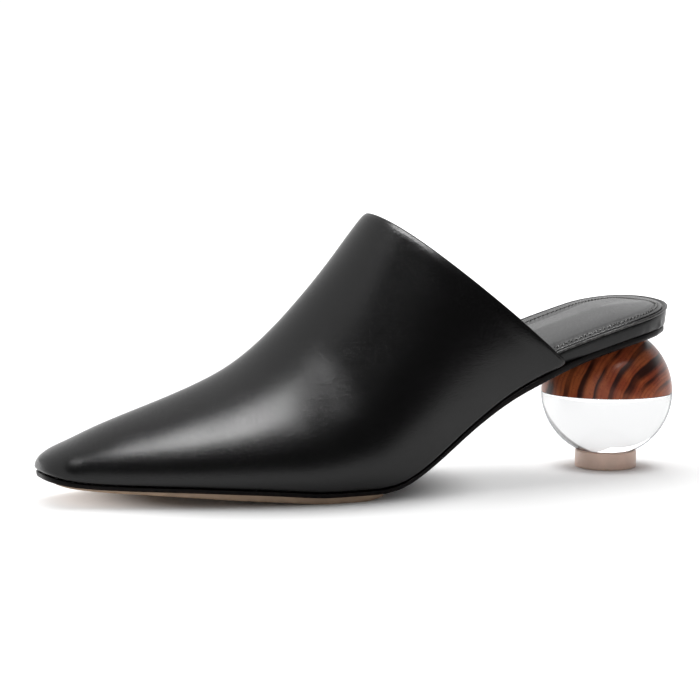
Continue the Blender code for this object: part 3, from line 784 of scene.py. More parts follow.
def add_vamp(material):
    """The outer leather with its turned top edge, as a shell without the lining."""
    last = sizes("last")
    stiff, stiff_to, stiff_fade = 0.07 * MM, 4.0, 5.0
    roll_reach, turned_fade, sag = 3.2 * MM, 0.5 * MM, 0.4 * MM
    worn_reach, soft_reach, soft_pull, corner_reach = 0.8 * MM, 1.2 * MM, 0.5 * MM, 9 * MM
    rows = upper_rows()
    plain = upper_grid(rows, 104)
    normals = grid_normals(plain)
    from_edge = from_top_line(plain)
    count = plain.shape[1]
    height = plain[..., 2] - np.where(np.arange(count) < count // 2, plain[:, :1, 2], plain[:, -1:, 2])
    edge_band = stiff * (1 - ease((from_edge / MM - stiff_to) / stiff_fade))
    edge_band -= last.edge_roll * np.clip(1 - from_edge / roll_reach, 0, 1) ** 2
    tip = ease(np.arange(len(plain))[:, None] / 10)
    outside = plain + normals * ((vamp_forms(plain, rows) * tip + edge_band)[..., None])
    sides = edge_offsets(rows["foot"] * last.shoe_length)
    tuck = last.feather_tuck
    inwards = tuck - np.sqrt(np.maximum(tuck**2 - np.maximum(tuck - height, 0) ** 2, 0))
    half = count // 2
    for part, (_, outwards) in zip((slice(0, half), slice(half, count)), sides):
        outside[:, part, :2] -= outwards[:, None, :] * inwards[:, part, None]
    turned = 1 - ease((from_edge - last.turned_edge) / turned_fade)
    depth = last.skin + (last.upper_wall - last.skin) * turned
    inside = plain - normals * depth[..., None]
    inside[0] = outside[0] + np.array([last.skin, 0, 0])
    inside[0, :, 2] = plain[0, :, 2] - sag * up_and_down(count)
    inside[..., 2] = np.maximum(inside[..., 2], np.minimum(plain[:, :1, 2], inside[:, :1, 2] + 1))
    backwards = over_the_edge(plain)
    roll_radius = last.upper_wall / 2
    tight = last.rear_corner - np.clip(height, 0, last.rear_corner)
    corner_cut = last.rear_corner - np.sqrt(last.rear_corner**2 - tight**2)
    pull = ease(1 - from_edge / soft_reach) * soft_pull + ease(1 - from_edge / corner_reach) * corner_cut
    pull = pull[..., None]
    outside -= backwards[None] * pull
    inside -= backwards[None] * pull
    middle = (outside[-1] + inside[-1]) / 2
    reach = (outside[-1] - inside[-1]) / 2
    roll = [
        middle + reach * math.cos(turn) + backwards * roll_radius * math.sin(turn)
        for turn in np.linspace(0, math.pi, 11)[1:-1]
    ]
    points = np.concatenate([outside.reshape(-1, 3), inside.reshape(-1, 3), np.concatenate(roll)])
    edges = np.clip(np.exp(-from_edge / worn_reach) + 0.5 * np.exp(-height / worn_reach), 0, 1)
    wear_and_painted_light = np.concatenate([edges.ravel(), np.zeros(edges.size), np.ones(len(roll) * count)])
    faces = shell_faces(len(plain), count, len(roll))
    return add_piece("vamp", points, faces, material, "upper", masks={"wear_and_painted_light": wear_and_painted_light})


def lining_grid(depth):
    """The upper's inner side at a depth from its outer face, on a coarser grid, with a few loose waves."""
    sag = 0.9 * MM
    rows = upper_rows(row_steps=7, cap_steps=10, last_steps=14)
    plain = upper_grid(rows, 60)
    normals = grid_normals(plain)
    wavy = 0.10 * MM * ripple(plain, 15 * MM, seed=23)[..., None]
    shifted = plain - normals * (depth + wavy)
    shifted[0] = plain[0] + np.array([depth, 0, 0])
    shifted[0, :, 2] = plain[0, :, 2] - sag * up_and_down(plain.shape[1])
    return plain, shifted, from_top_line(plain)


def add_vamp_lining(material):
    """The lining leather inside the upper, which stops just under the turned edge."""
    last = sizes("last")
    glue, set_back, set_back_reach, edge_round = 0.05 * MM, 2.0 * MM, 9 * MM, 0.35 * MM
    plain, outside, from_edge = lining_grid(last.skin + glue)
    _, inside, _ = lining_grid(last.upper_wall)
    count = plain.shape[1]
    backwards = over_the_edge(plain)
    pull = (ease(1 - from_edge / set_back_reach) * set_back)[..., None]
    outside -= backwards[None] * pull
    inside -= backwards[None] * pull
    middle = (outside[-1] + inside[-1]) / 2 + backwards * edge_round
    points = np.concatenate([outside.reshape(-1, 3), inside.reshape(-1, 3), middle])
    wear_and_painted_light = np.zeros(len(points))
    wear_and_painted_light[-count:] = 1
    faces = shell_faces(len(plain), count, 1)
    return add_piece("vamp_lining", points, faces, material, masks={"wear_and_painted_light": wear_and_painted_light})


def add_top_line_stitches(material):
    """The row that holds the lining to the turned edge, just inside the top line."""
    below_edge, pitch, ends, lift = 4.2 * MM, 2.5 * MM, 3 * MM, 0.12 * MM
    plain, inside, from_edge = lining_grid(sizes("last").upper_wall + 0.02 * MM)
    columns = range(2, plain.shape[1] - 2)
    line, out = (
        np.concatenate([read_along([-below_edge], -from_edge[:, k], values[:, k]) for k in columns])
        for values in (inside, grid_normals(plain))
    )
    run = run_of(line)
    places = np.arange(ends, run[-1] - ends, pitch)
    at, ups = read_along(places, run, line), unit(-read_along(places, run, out))
    ways = square_to(np.gradient(at, axis=0), ups)
    return add_stitches("top_line_stitches", at + ups * lift, ways, ups, 2.0 * MM, 0.42 * MM, material)


# ---- the layers under the foot


def add_band(material):
    """The insole's wrapped band: a bead along the top edge, a groove inside it, and a waist above its foot."""
    start, waist, bead = 0.16, 0.16, 2.3
    line, inwards, run = last_edge(start, 0.55 * MM)
    hoops, wear_and_painted_light = [], []
    behind = ease((along_shoe(from_toe(line)) - 0.86) / 0.10)
    for inset, part, add in zip(*BAND_HOOP.values()):
        flat = line + inwards * inset * MM
        distance = from_toe(flat)
        bottom, top = insole_bottom_z(distance), insole_top_z(distance, flat[:, 1])
        at = raised(flat, bottom + (top - bottom) * part + add * MM)
        low = ease(1 - abs(part - waist) / 0.35) if add == 0 and inset < 4 else 0
        puckers = ripple(np.stack([run, 0 * run, at[:, 2] * 0.6], axis=1), 5.5 * MM, seed=31)
        fine = ripple(np.stack([run, 0 * run, at[:, 2] * 0.4], axis=1), 2.6 * MM, seed=37)
        give = (0.07 + 0.20 * behind) * MM * low * puckers + (0.03 + 0.05 * behind) * MM * low * fine
        at[:, :2] -= inwards * give[:, None]
        hoops.append(at)
        # Painted highlight: the bead's top takes the lighter edge colour.
        wear_and_painted_light.append(np.full(len(line), bell((inset - bead) / 0.35) if part == 1 else 0.0))
    hoops, wear_and_painted_light = np.stack(hoops, axis=1), np.stack(wear_and_painted_light, axis=1)
    return add_piece(
        "footbed_band", hoops, capped(hoops), material, "insole", masks={"wear_and_painted_light": wear_and_painted_light}
    )

# Widths over which the sock changes from its outer to its inner side, and over which its seam rounds the back.
SIDE_BLEND, SEAM_ROUND = 30 * MM, 13 * MM
# The seam's groove, the puckers and tucks that it draws, and how fast the pad's lip rises.
GROOVE_WIDTH, GROOVE_DEPTH = 0.46 * MM, 0.50 * MM
PUCKER_REACH, PUCKER_DEPTH, PUCKER_SLANT = 1.5 * MM, 0.09, 1.2
TUCK_LENGTH, TUCK_DEPTH = 3.6 * MM, 0.07
LIP_REACH = 1.2 * MM


def inner_share(side):
    """0 on the outer side and 1 on the inner side, with a soft change over the middle line."""
    return ease(0.5 + side / SIDE_BLEND)


def seam_shift(side):
    """How much further in the seam runs on the inner side than on the outer side, from its middle inset."""
    return sizes("sole").seam_lean * (2 * inner_share(side) - 1 + bell(side / SEAM_ROUND))


def sock_height(inset, side, distance, reach, run):
    """The sock's height over the insole at an inset from the last's edge.

    On the outer side the margin climbs to the seam. On the inner side a flange runs on past the seam, and the
    pad starts at a crease further in.
    """
    sole, inner = sizes("sole"), inner_share(side)
    along = along_shoe(distance)
    edge = curve(SOCK_EDGE, "height", inset / MM, along="inset", ease=0) * MM
    seam_at = sole.seam_inset + seam_shift(side)
    climb = sole.margin_climb * (1 - 0.5 * inner) * ease((inset - 4.8 * MM) / (seam_at - 4.7 * MM))
    crease = seam_at + inner * (1 - 0.85 * ease((along - 0.84) / 0.14)) * sole.flange_width
    from_crease = np.clip((inset - crease) / np.maximum(reach - crease, MM), 0, 1)
    swell = inner * ease(from_crease) + (1 - inner) * (1 - (1 - from_crease) ** 2)
    crown = curve(LAYERS, "crown", along) * sole.pad_crown * swell
    rising = 1 - np.exp(-np.maximum(inset - crease, 0) / LIP_REACH)
    lip = sole.pad_lip * inner * rising * (1 - ease(from_crease))
    from_seam = inset - seam_at
    beat = np.cos(2 * math.pi * run / sole.pucker_pitch + PUCKER_SLANT * np.clip(from_seam / MM, -1, 1))
    drawn = bell(from_seam / PUCKER_REACH) * (1 - 0.4 * inner)
    tucks = ripple(np.stack([run, inset * 0.5, 0 * run], axis=-1), TUCK_LENGTH, seed=61)
    puckers = drawn * (PUCKER_DEPTH * beat + TUCK_DEPTH * tucks) * MM
    return edge + climb + crown + lip - GROOVE_DEPTH * bell(from_seam / GROOVE_WIDTH) + puckers


def add_sock(material):
    """The padded sock: a margin, a stitched seam with its puckers, and the crowned pad."""
    start, bead, wave, tail_drop = sizes("sole").sock_start, 4.6, 0.05 * MM, 0.60 * MM
    line, inwards, run = last_edge(start, 0.46 * MM)
    spine = spine_of(line, start)
    between, seam, crease = [4.26, 4.37, 4.55, 5.5, 6.5], np.arange(6.9, 9.0, 0.19), np.arange(9.3, 15.0, 0.42)
    near = np.sort(np.concatenate([SOCK_EDGE["inset"], between, seam, crease])) * MM
    reach = np.linalg.norm(spine - line, axis=1)
    shift = seam_shift(line[:, 1])
    insets = [inset + shift * np.clip((inset / MM - 4.5) / 2.4, 0, 1) for inset in near]
    rim, last = line + inwards * insets[-1][:, None], insets[-1]
    far = np.linspace(0, 1, 15)[1:] ** 1.05
    flats = [line + inwards * inset[:, None] for inset in insets] + [rim + (spine - rim) * part for part in far]
    insets += [last + (np.maximum(reach, last + MM) - last) * part for part in far]
    surface, wear_and_painted_light = [], []
    for flat, inset in zip(flats, insets):
        distance = from_toe(flat)
        rise = sock_height(inset, line[:, 1], distance, reach, run)
        surface.append(raised(flat, insole_top_z(distance, flat[:, 1]) + sizes("sole").glue_gap + rise))
        # Lightens a narrow line along the sock's edge, from the waist back.
        behind_waist = ease((along_shoe(distance) - 0.60) / 0.12)
        wear_and_painted_light.append(behind_waist * bell((inset / MM - bead) / 0.4))
    surface, wear_and_painted_light = np.stack(surface, axis=1), np.stack(wear_and_painted_light, axis=1)
    surface[..., 2] += wave * ripple(surface, 14 * MM, seed=41)
    tail = surface[:, ::-1][:, 4::6].copy()
    tail[..., 2] = insole_top_z(from_toe(tail), tail[..., 1]) - tail_drop
    hoops = np.concatenate([surface, tail], axis=1)
    mask = np.concatenate([wear_and_painted_light, np.zeros(tail.shape[:2])], axis=1)
    piece = add_piece("sock_pad", hoops, capped(hoops), material, "sock_lining", masks={"wear_and_painted_light": mask})
    return piece


def add_sock_stitches(material):
    """The thread that draws the pad's edge down to the margin."""
    first_seen, slant, lift = 0.30, 0.55, 0.04 * MM
    sole = sizes("sole")
    line, inwards, run = last_edge(sole.sock_start, 0.46 * MM)
    reach = np.linalg.norm(spine_of(line, sole.sock_start) - line, axis=1)
    seam_at = sole.seam_inset + seam_shift(line[:, 1])
    path = line + inwards * seam_at[:, None]
    distance = from_toe(path)
    beside = [sock_height(seam_at + aside * MM, line[:, 1], distance, reach, 0 * run) for aside in (-0.7, 0.7)]
    path = raised(path, insole_top_z(distance, path[:, 1]) + sole.glue_gap + (beside[0] + beside[1]) / 2 + lift)
    places = np.arange(0.5 * sole.pucker_pitch, run[-1], sole.pucker_pitch)
    at, side = read_along(places, run, path), read_along(places, run, inwards)
    seen = along_shoe(from_toe(at)) > first_seen
    at, side = at[seen], raised(side[seen], np.zeros(seen.sum()))
    ways = unit(np.gradient(at, axis=0))
    ups = np.cross(ways, side)
    ups *= np.sign(ups[:, 2:])
    ways = unit(ways + side * slant)
    return add_stitches("sock_stitches", at, ways, square_to(ups, ways), 1.40 * MM, 0.66 * MM, material)


def add_outsole(material):
    """The full outsole with its rounded, painted edge."""
    sole = sizes("sole")
    line, inwards, run = last_edge(0.0, 0.8 * MM)
    spine = spine_of(line)
    along = along_shoe(from_toe(line))
    heel, behind = ease((along - 0.72) / 0.12), ease((along - 0.90) / 0.06)
    inset = sole.outsole_inset + heel * (sole.outsole_heel_inset - sole.outsole_inset)
    bevel = sole.outsole_bevel + heel * (sole.outsole_heel_bevel - sole.outsole_bevel)
    wavy = (0.06 + 0.20 * behind) * MM * heel * ripple(np.stack([run, 0 * run, 0 * run], axis=1), 5 * MM, seed=53)
    # The edge from its top to the underside: how far in, and how high as a share of the thickness.
    edge = [(0.1375 * MM + 0 * run, 1.0), (0 * run, 0.904)]
    wear_and_painted_light = [0 * run + 0.10] * len(edge)
    for turn in np.linspace(0, math.pi / 2, 9):
        edge.append((bevel * (1 - math.cos(turn)) + wavy * math.sin(2 * turn), 0.86 * (1 - math.sin(turn))))
        # At the heel the lowest rows of the edge take the pale brown colour in full: a thin pinkish line just above
        # the wood.
        wear_and_painted_light.append(0.12 * math.sin(2 * turn) ** 2 + heel * (turn > 1.2))
    points = []
    for further, part in edge:
        flat = line + inwards * (inset + further)[:, None]
        low, high = underside_z(from_toe(flat)), outsole_top_z(from_toe(flat))
        points.append(raised(flat, low + (high - low) * part))

    def filled(rim, parts, height):
        """Rows of points between a rim and the middle line."""
        flats = [rim[:, :2] + (spine - rim[:, :2]) * part for part in parts]
        return [raised(flat, height(from_toe(flat))) for flat in flats]

    under = (0.04, 0.12, 0.3, 0.6, 1.0)
    top = filled(points[0], (1.0, 0.5, 0.1), outsole_top_z)
    whole = np.stack(top + points + filled(points[-1], under, underside_z), axis=1)
    wear_and_painted_light = [0 * run] * len(top) + wear_and_painted_light + [0.15 * (1 - part) + 0 * run for part in under]
    faces = grid_faces(*whole.shape[:2])
    return add_piece(
        "outsole_edge", whole, faces, material, "outsole", masks={"wear_and_painted_light": np.stack(wear_and_painted_light, axis=1)}
    )


def add_tread(material):
    """The forefoot tread, skived thin to both ends, with its edge sanded round."""
    sole, last = sizes("sole"), sizes("last")
    start, end = TREAD["along"][0], TREAD["along"][-1]
    toe = corner_steps(last.toe_corner_length, last.toe_squareness, 16)
    distances = np.concatenate([toe, np.linspace(toe[-1], end * last.shoe_length, 130)[1:]])
    distances = distances[distances >= start * last.shoe_length]
    past_toe = np.clip(distances / (0.10 * last.shoe_length), 0, 1)
    inset = sole.outsole_inset + sole.outsole_bevel + sole.tread_inset + (1 - past_toe) ** 2 * sole.tread_toe_inset
    to_end = np.clip((distances / distances[-1] - 0.7) / 0.3, 0, 1)[:, None]

    def face(extra, shares, depth):
        """Points across each row: extra inwards, and depth from the tread's top (0) to its foot (1)."""
        (outer, _), (inner, _) = edge_offsets(distances, inset + extra)
        shares = np.asarray(shares)[None, :]
        flat = outer[:, None, :] * (1 - shares[..., None]) + inner[:, None, :] * shares[..., None]
        straight = from_toe(flat)
        bent = straight - sole.tread_end_arc * to_end**2 * (2 * shares - 1) ** 2
        for side, weight in ((-1, 1 - shares), (1, shares)):
            flat[..., 1] += (edge_y(bent, side) - edge_y(straight, side)) * weight
        top = underside_z(bent) - 0.02 * MM
        thick = curve(TREAD, "share", along_shoe(straight)) * sole.tread_thickness + sole.glue_gap
        low = np.maximum(top - thick, 0)
        return np.stack([world_x(bent), flat[..., 1], top + (low - top) * depth], axis=-1)

    sanded, columns = 0.30 * MM, 21

    def rounding(side, turns):
        """The sanded edge on one side (0 outer, 1 inner)."""
        return [face(sanded * (1 - math.cos(turn)), [side], 0.45 + 0.55 * math.sin(turn)) for turn in turns]

    across = 0.5 - 0.5 * np.cos(np.linspace(0, math.pi, columns))
    turns = np.linspace(0, math.pi / 2, 6)[:-1]
    parts = [face(0.0, across[::-1], 0.0), *rounding(0.0, turns)]
    parts += [face(sanded, across, 1.0), *rounding(1.0, turns[::-1])]
    hoops = np.concatenate(parts, axis=1)
    # The rounded rows of the edge take the dark colour, most towards the foot on the outer side: burnished leather
    # and painted shade.
    burnished_and_shaded = [0.2, 0.5, 0.8, 1, 1]
    wear_and_painted_light = np.concatenate([np.zeros(columns), burnished_and_shaded, np.zeros(columns), burnished_and_shaded])
    wear_and_painted_light = np.repeat(wear_and_painted_light[None], len(hoops), axis=0)
    return add_piece(
        "tread_leather", hoops, capped(hoops), material, "forefoot_tread", masks={"wear_and_painted_light": wear_and_painted_light}
    )


# ---- the heel

# Points round each turned piece.
ROUND = 160
TURNS = np.linspace(0, 2 * math.pi, ROUND, endpoint=False)


def turned(name, rings, material, node, slot, wear_and_painted_light=None, sharp=50):
    """A piece turned about the ball's axis from rings of a radius and a height, closed on the axis."""
    out, up = (np.array([np.broadcast_to(ring[k], ROUND) for ring in rings]) for k in (0, 1))
    points = np.stack([out * np.cos(TURNS), out * np.sin(TURNS), up], axis=-1)
    masks = None if wear_and_painted_light is None else {"wear_and_painted_light": np.repeat(np.array(wear_and_painted_light, float)[:, None], ROUND, axis=1)}
    faces = grid_faces(len(rings), ROUND, closed=True)
    return add_piece(name, points, faces, material, node, sharp=sharp, masks=masks)


def rounded(points, radius, steps=5):
    """A radius and height line with each of its inner corners rounded."""
    points = [np.array(p, float) for p in points]
    line = [points[0]]
    for before, at, after in zip(points[:-2], points[1:-1], points[2:]):
        back, on = before - at, after - at
        start = at + back / np.linalg.norm(back) * min(radius, np.linalg.norm(back) / 2)
        end = at + on / np.linalg.norm(on) * min(radius, np.linalg.norm(on) / 2)
        line += [bend(t, start, at, end) for t in np.linspace(0, 1, steps + 1)]
    return line + [points[-1]]


def add_heel_wood(material):
    """The wooden half of the ball, cut to the outsole's slope, with a softened edge at the seam."""
    heel, centre = sizes("heel"), ball_centre_z()
    radius, soft = heel.ball_diameter / 2, heel.seam_round
    back = sizes("last").shoe_length

    def seat(x):
        return underside_z(np.minimum(x + heel_axis(), back)) - 0.04 * MM

    low, high = np.zeros(ROUND), np.full(ROUND, math.pi / 2)
    for _ in range(40):
        middle = (low + high) / 2
        over = centre + radius * np.sin(middle) > seat(radius * np.cos(middle) * np.cos(TURNS))
        low, high = np.where(over, low, middle), np.where(over, middle, high)
    first = math.asin(soft / radius)
    rim, edge = radius * math.cos(first), radius * np.cos(low)
    flat = [(0, centre), (radius * 0.6, centre)]
    softened = [
        (bend(t, rim - soft, rim, rim), bend(t, centre, centre, centre + soft)) for t in np.linspace(0, 1, 6)[:-1]
    ]
    ways = [first + (low - first) * t for t in np.linspace(0, 1, 49)]
    dome = [(radius * np.cos(way), centre + radius * np.sin(way)) for way in ways]
    top = [(edge * part, seat(edge * part * np.cos(TURNS))) for part in (0.985, 0.9, 0.6, 0.3, 0.0)]
    wear_and_painted_light = [0.0] * len(flat) + [1.0] * len(softened) + [0.0] * len(dome + top)
    rings = flat + softened + dome + top
    return turned("heel_dome", rings, material, "heel_wood", "rosewood", wear_and_painted_light=wear_and_painted_light, sharp=60)


def add_heel_clear(material):
    """The clear half of the ball, polished, with a small chamfer under the wood."""
    heel, centre = sizes("heel"), ball_centre_z()
    radius, soft = heel.ball_diameter / 2, heel.seam_round
    foot, seam = heel.toplift_height + 0.04 * MM, centre - 0.03 * MM
    start, end = math.asin((foot - centre) / radius), math.asin((seam - soft - centre) / radius)
    bowl = [(radius * math.cos(way), centre + radius * math.sin(way)) for way in np.linspace(start, end, 56)]
    rim, low = bowl[-1]
    chamfer = [(bend(t, rim, rim, rim - soft), bend(t, low, seam, seam)) for t in np.linspace(0, 1, 6)[1:]]
    rings = [(0, foot), (radius * math.cos(start) * 0.7, foot), *bowl, *chamfer, (radius * 0.6, seam), (0, seam)]
    return turned("heel_bowl", rings, material, "heel_clear", "clear_acrylic", sharp=30)


def add_toplift(material):
    """The top lift: softened edges, a shallow moulding step round its top, and a ring groove underneath."""
    heel = sizes("heel")
    r, h = heel.toplift_diameter / 2, heel.toplift_height
    corners = [
        (0, 0.5 * MM), (1.4 * MM, 0.5 * MM), (1.7 * MM, 0), (r - 3.2 * MM, 0), (r - 2.9 * MM, 0.4 * MM),
        (r - 2.5 * MM, 0.4 * MM), (r - 2.2 * MM, 0), (r - 0.25 * MM, 0), (r, 0.5 * MM), (r - 0.05 * MM, h - 0.5 * MM),
        (r - 0.5 * MM, h), (r - 1.2 * MM, h), (0, h),
    ]
    profile = rounded(corners, 0.45 * MM)
    wear_and_painted_light = [math.exp(-abs(z) / (0.7 * MM)) * (rad > r - 1.5 * MM) for rad, z in profile]
    return turned("toplift_block", profile, material, "toplift", "nude_rubber", wear_and_painted_light=wear_and_painted_light)


# ---- finishes


def solid(value):
    return (*tuple(value)[:3], 1.0)


def add_node(tree, kind, values=None, **settings):
    """A shader node with its settings, and each named input set to a value or linked to a socket."""
    made = tree.nodes.new(kind)
    for name, value in settings.items():
        setattr(made, name, value)
    for key, value in (values or {}).items():
        if isinstance(value, bpy.types.NodeSocket):
            tree.links.new(value, made.inputs[key])
        else:
            made.inputs[key].default_value = value
    return made


def maths(tree, operation, *values, clamp=False):
    """The output of a Math node over numbers and sockets."""
    return add_node(tree, "ShaderNodeMath", dict(enumerate(values)), operation=operation, use_clamp=clamp).outputs[0]


def times(tree, first, second, clamp=False):
    return maths(tree, "MULTIPLY", first, second, clamp=clamp)


def scaled(tree, value, by, add):
    """A value times one number or socket, plus another."""
    return maths(tree, "MULTIPLY_ADD", value, by, add)


def rest(tree, value):
    """What a value leaves of 1."""
    return maths(tree, "SUBTRACT", 1.0, value)


def vector_maths(tree, operation, *values):
    """The output of a Vector Math node: a number for a length or a dot product, otherwise a vector."""
    made = add_node(tree, "ShaderNodeVectorMath", dict(enumerate(values)), operation=operation)
    return made.outputs["Value" if operation in ("LENGTH", "DOT_PRODUCT") else "Vector"]


def feed(tree, node, **sockets):
    """Links sockets to a node's inputs by name."""
    for label, socket in sockets.items():
        tree.links.new(socket, node.inputs[label.replace("_", " ")])


def blend_colours(tree, factor, first, second):
    """Two colours, sockets or plain, mixed by a factor."""
    plain = [v if isinstance(v, bpy.types.NodeSocket) else solid(v) for v in (first, second)]
    return add_node(tree, "ShaderNodeMix", {0: factor, 6: plain[0], 7: plain[1]}, data_type="RGBA").outputs[2]


def noise(tree, place, scale, detail=2.0, roughness=0.5, distortion=0.0):
    return add_node(
        tree, "ShaderNodeTexNoise",
        {"Vector": place, "Scale": scale, "Detail": detail, "Roughness": roughness, "Distortion": distortion},
    ).outputs["Fac"]


def ramp(tree, value, low, high):
    """A value brought from between low and high to between 0 and 1, smoothly."""
    return add_node(
        tree, "ShaderNodeMapRange", {"Value": value, "From Min": low, "From Max": high},
        interpolation_type="SMOOTHSTEP",
    ).outputs["Result"]


def new_group(name, inputs, outputs):
    """An empty shader node group with named sockets, and its two ends."""
    tree = bpy.data.node_groups.new(name, "ShaderNodeTree")
    for label, kind, default in inputs:
        socket = tree.interface.new_socket(name=label, in_out="INPUT", socket_type="NodeSocket" + kind)
        if default is not None:
            socket.default_value = default
    for label, kind in outputs:
        tree.interface.new_socket(name=label, in_out="OUTPUT", socket_type="NodeSocket" + kind)
    return tree, tree.nodes.new("NodeGroupInput").outputs, tree.nodes.new("NodeGroupOutput")


def grain_group():
    """Leather grain: pebbles with fine pores between them, their height, and a slow mottle."""
    tree, given, put = new_group(
        "leather_grain",
        [("Place", "Vector", None), ("Pebbles per metre", "Float", 2200.0), ("Crease", "Float", 0.3)],
        [("Height", "Float"), ("Pores", "Float"), ("Mottle", "Float")],
    )
    offset = times(tree, noise(tree, given["Place"], 700.0, 2.0), 0.0005)
    cells = {"Vector": vector_maths(tree, "ADD", given["Place"], offset), "Scale": given["Pebbles per metre"]}
    soft = add_node(tree, "ShaderNodeTexVoronoi", {**cells, "Smoothness": 0.55}, feature="SMOOTH_F1")
    edges = add_node(tree, "ShaderNodeTexVoronoi", cells, feature="DISTANCE_TO_EDGE")
    pebble = rest(tree, ramp(tree, soft.outputs["Distance"], 0.15, 0.75))
    valley = ramp(tree, edges.outputs["Distance"], 0.0, 0.16)
    pores = ramp(tree, noise(tree, given["Place"], 5200.0, 1.0), 0.62, 0.74)
    creases = ramp(tree, noise(tree, given["Place"], 420.0, 3.0, 0.6, 1.2), 0.35, 0.65)
    height = times(tree, pebble, scaled(tree, valley, 0.6, 0.4))
    height = scaled(tree, creases, given["Crease"], height)
    height = scaled(tree, pores, -0.35, height)
    feed(tree, put, Height=height, Pores=pores, Mottle=noise(tree, given["Place"], 110.0, 3.0, 0.55, 0.4))
    return tree


def edge_tint_group():
    """A colour laid on the edges that a mask marks, for rubbing and for painted highlight and shade: the mask broken
    up by fine noise.
    """
    tree, given, put = new_group(
        "edge_tint",
        [("Place", "Vector", None), ("Colour", "Color", None), ("Rubbed colour", "Color", None),
         ("Worn", "Float", 0.0), ("Amount", "Float", 0.5), ("Patches per metre", "Float", 900.0)],
        [("Colour", "Color"), ("Rubbed", "Float")],
    )
    broken = ramp(tree, noise(tree, given["Place"], given["Patches per metre"], 3.0, 0.6), 0.30, 0.72)
    mask = times(tree, times(tree, given["Worn"], broken), given["Amount"], clamp=True)
    feed(tree, put, Colour=blend_colours(tree, mask, given["Colour"], given["Rubbed colour"]), Rubbed=mask)
    return tree


def dust_group():
    """A thin film and a few specks of dust, on what faces up."""
    tree, given, put = new_group(
        "dust_film",
        [("Place", "Vector", None), ("Colour", "Color", None), ("Amount", "Float", 0.1)],
        [("Colour", "Color"), ("Dust", "Float")],
    )
    facing = add_node(tree, "ShaderNodeSeparateXYZ", {0: add_node(tree, "ShaderNodeNewGeometry").outputs["Normal"]})
    upward = ramp(tree, facing.outputs[2], 0.1, 0.95)
    specks = ramp(tree, noise(tree, given["Place"], 2600.0, 2.0, 0.7), 0.66, 0.74)
    film = ramp(tree, noise(tree, given["Place"], 90.0, 3.0), 0.3, 0.8)
    amount = scaled(tree, specks, 0.7, times(tree, film, 0.30))
    amount = times(tree, times(tree, amount, upward), given["Amount"], clamp=True)
    feed(tree, put, Colour=blend_colours(tree, amount, given["Colour"], (0.30, 0.29, 0.28)), Dust=amount)
    return tree


def scratch_group():
    """Fine polishing marks: a value that runs in short streaks."""
    tree, given, put = new_group(
        "polish_marks",
        [("Place", "Vector", None), ("Stretch", "Vector", (1.0, 1.0, 1.0)), ("Marks per metre", "Float", 900.0)],
        [("Height", "Float"), ("Haze", "Float")],
    )
    drawn = vector_maths(tree, "MULTIPLY", given["Place"], given["Stretch"])
    marks = noise(tree, drawn, given["Marks per metre"], 4.0, 0.65)
    feed(tree, put, Height=marks, Haze=ramp(tree, noise(tree, given["Place"], 70.0, 3.0), 0.35, 0.75))
    return tree


# What brings the heart that the wood's rings run round to the origin, and the grain's turn.
WOOD_HEART, WOOD_TURN = (-0.0235, 0.0095, -0.0235), 0.39


def ring_group():
    """The wood's figure: dark rings round a line low behind the heel, fine lines between them, and pores."""
    tree, given, put = new_group(
        "ring_wood",
        [("Place", "Vector", None), ("Rings per metre", "Float", 140.0)],
        [("Dark", "Float"), ("Red", "Float"), ("Fine", "Float"), ("Pores", "Float")],
    )
    centre = vector_maths(tree, "ADD", given["Place"], WOOD_HEART)
    turn = {"Vector": centre, "Axis": (0.0, 0.0, 1.0), "Angle": WOOD_TURN}
    across = add_node(tree, "ShaderNodeVectorRotate", turn).outputs[0]
    squeezed = vector_maths(tree, "MULTIPLY", across, (1.0, 0.16, 1.0))
    slow, quick = noise(tree, squeezed, 42.0), noise(tree, squeezed, 210.0)
    apart = scaled(tree, slow, 0.0075, vector_maths(tree, "LENGTH", squeezed))
    apart = scaled(tree, quick, 0.0007, apart)
    turns = times(tree, apart, given["Rings per metre"])
    saw = maths(tree, "FRACT", turns)
    year = {"W": maths(tree, "FLOOR", turns)}
    season = add_node(tree, "ShaderNodeTexWhiteNoise", year, noise_dimensions="1D").outputs["Value"]
    late = ramp(tree, scaled(tree, season, -0.42, saw), 0.12, 0.46)
    ring = times(tree, late, rest(tree, ramp(tree, saw, 0.84, 0.97)))
    uneven = ramp(tree, noise(tree, squeezed, 75.0, 1.0), 0.28, 0.60)
    lines = maths(tree, "FRACT", times(tree, turns, 3.7))
    ends = rest(tree, ramp(tree, lines, 0.85, 1.0))
    fine = times(tree, ramp(tree, lines, 0.35, 0.8), ends)
    broken = ramp(tree, noise(tree, squeezed, 120.0), 0.35, 0.65)
    fibre = vector_maths(tree, "MULTIPLY", across, (1.0, 0.12, 1.0))
    feed(
        tree, put, Dark=times(tree, ring, uneven), Fine=times(tree, fine, broken),
        Red=ramp(tree, noise(tree, squeezed, 95.0, 3.0, 0.6), 0.36, 0.66),
        Pores=ramp(tree, noise(tree, fibre, 2300.0, 1.0), 0.63, 0.73),
    )
    return tree


def finish_tree(name, **plain):
    """A new material with its shader's plain numbers set, and the place of each point on the shoe."""
    material = bpy.data.materials.new(name)
    material.use_nodes = True
    tree = material.node_tree
    shader = tree.nodes["Principled BSDF"]
    for label, value in plain.items():
        shader.inputs[label.replace("_", " ")].default_value = value
    place = add_node(tree, "ShaderNodeTexCoord").outputs["Object"]
    return material, tree, shader, place


def use_group(tree, group, **values):
    """A shared effect placed in a material, with its inputs given by name."""
    named = {label.replace("_", " "): value for label, value in values.items()}
    return add_node(tree, "ShaderNodeGroup", named, node_tree=group).outputs


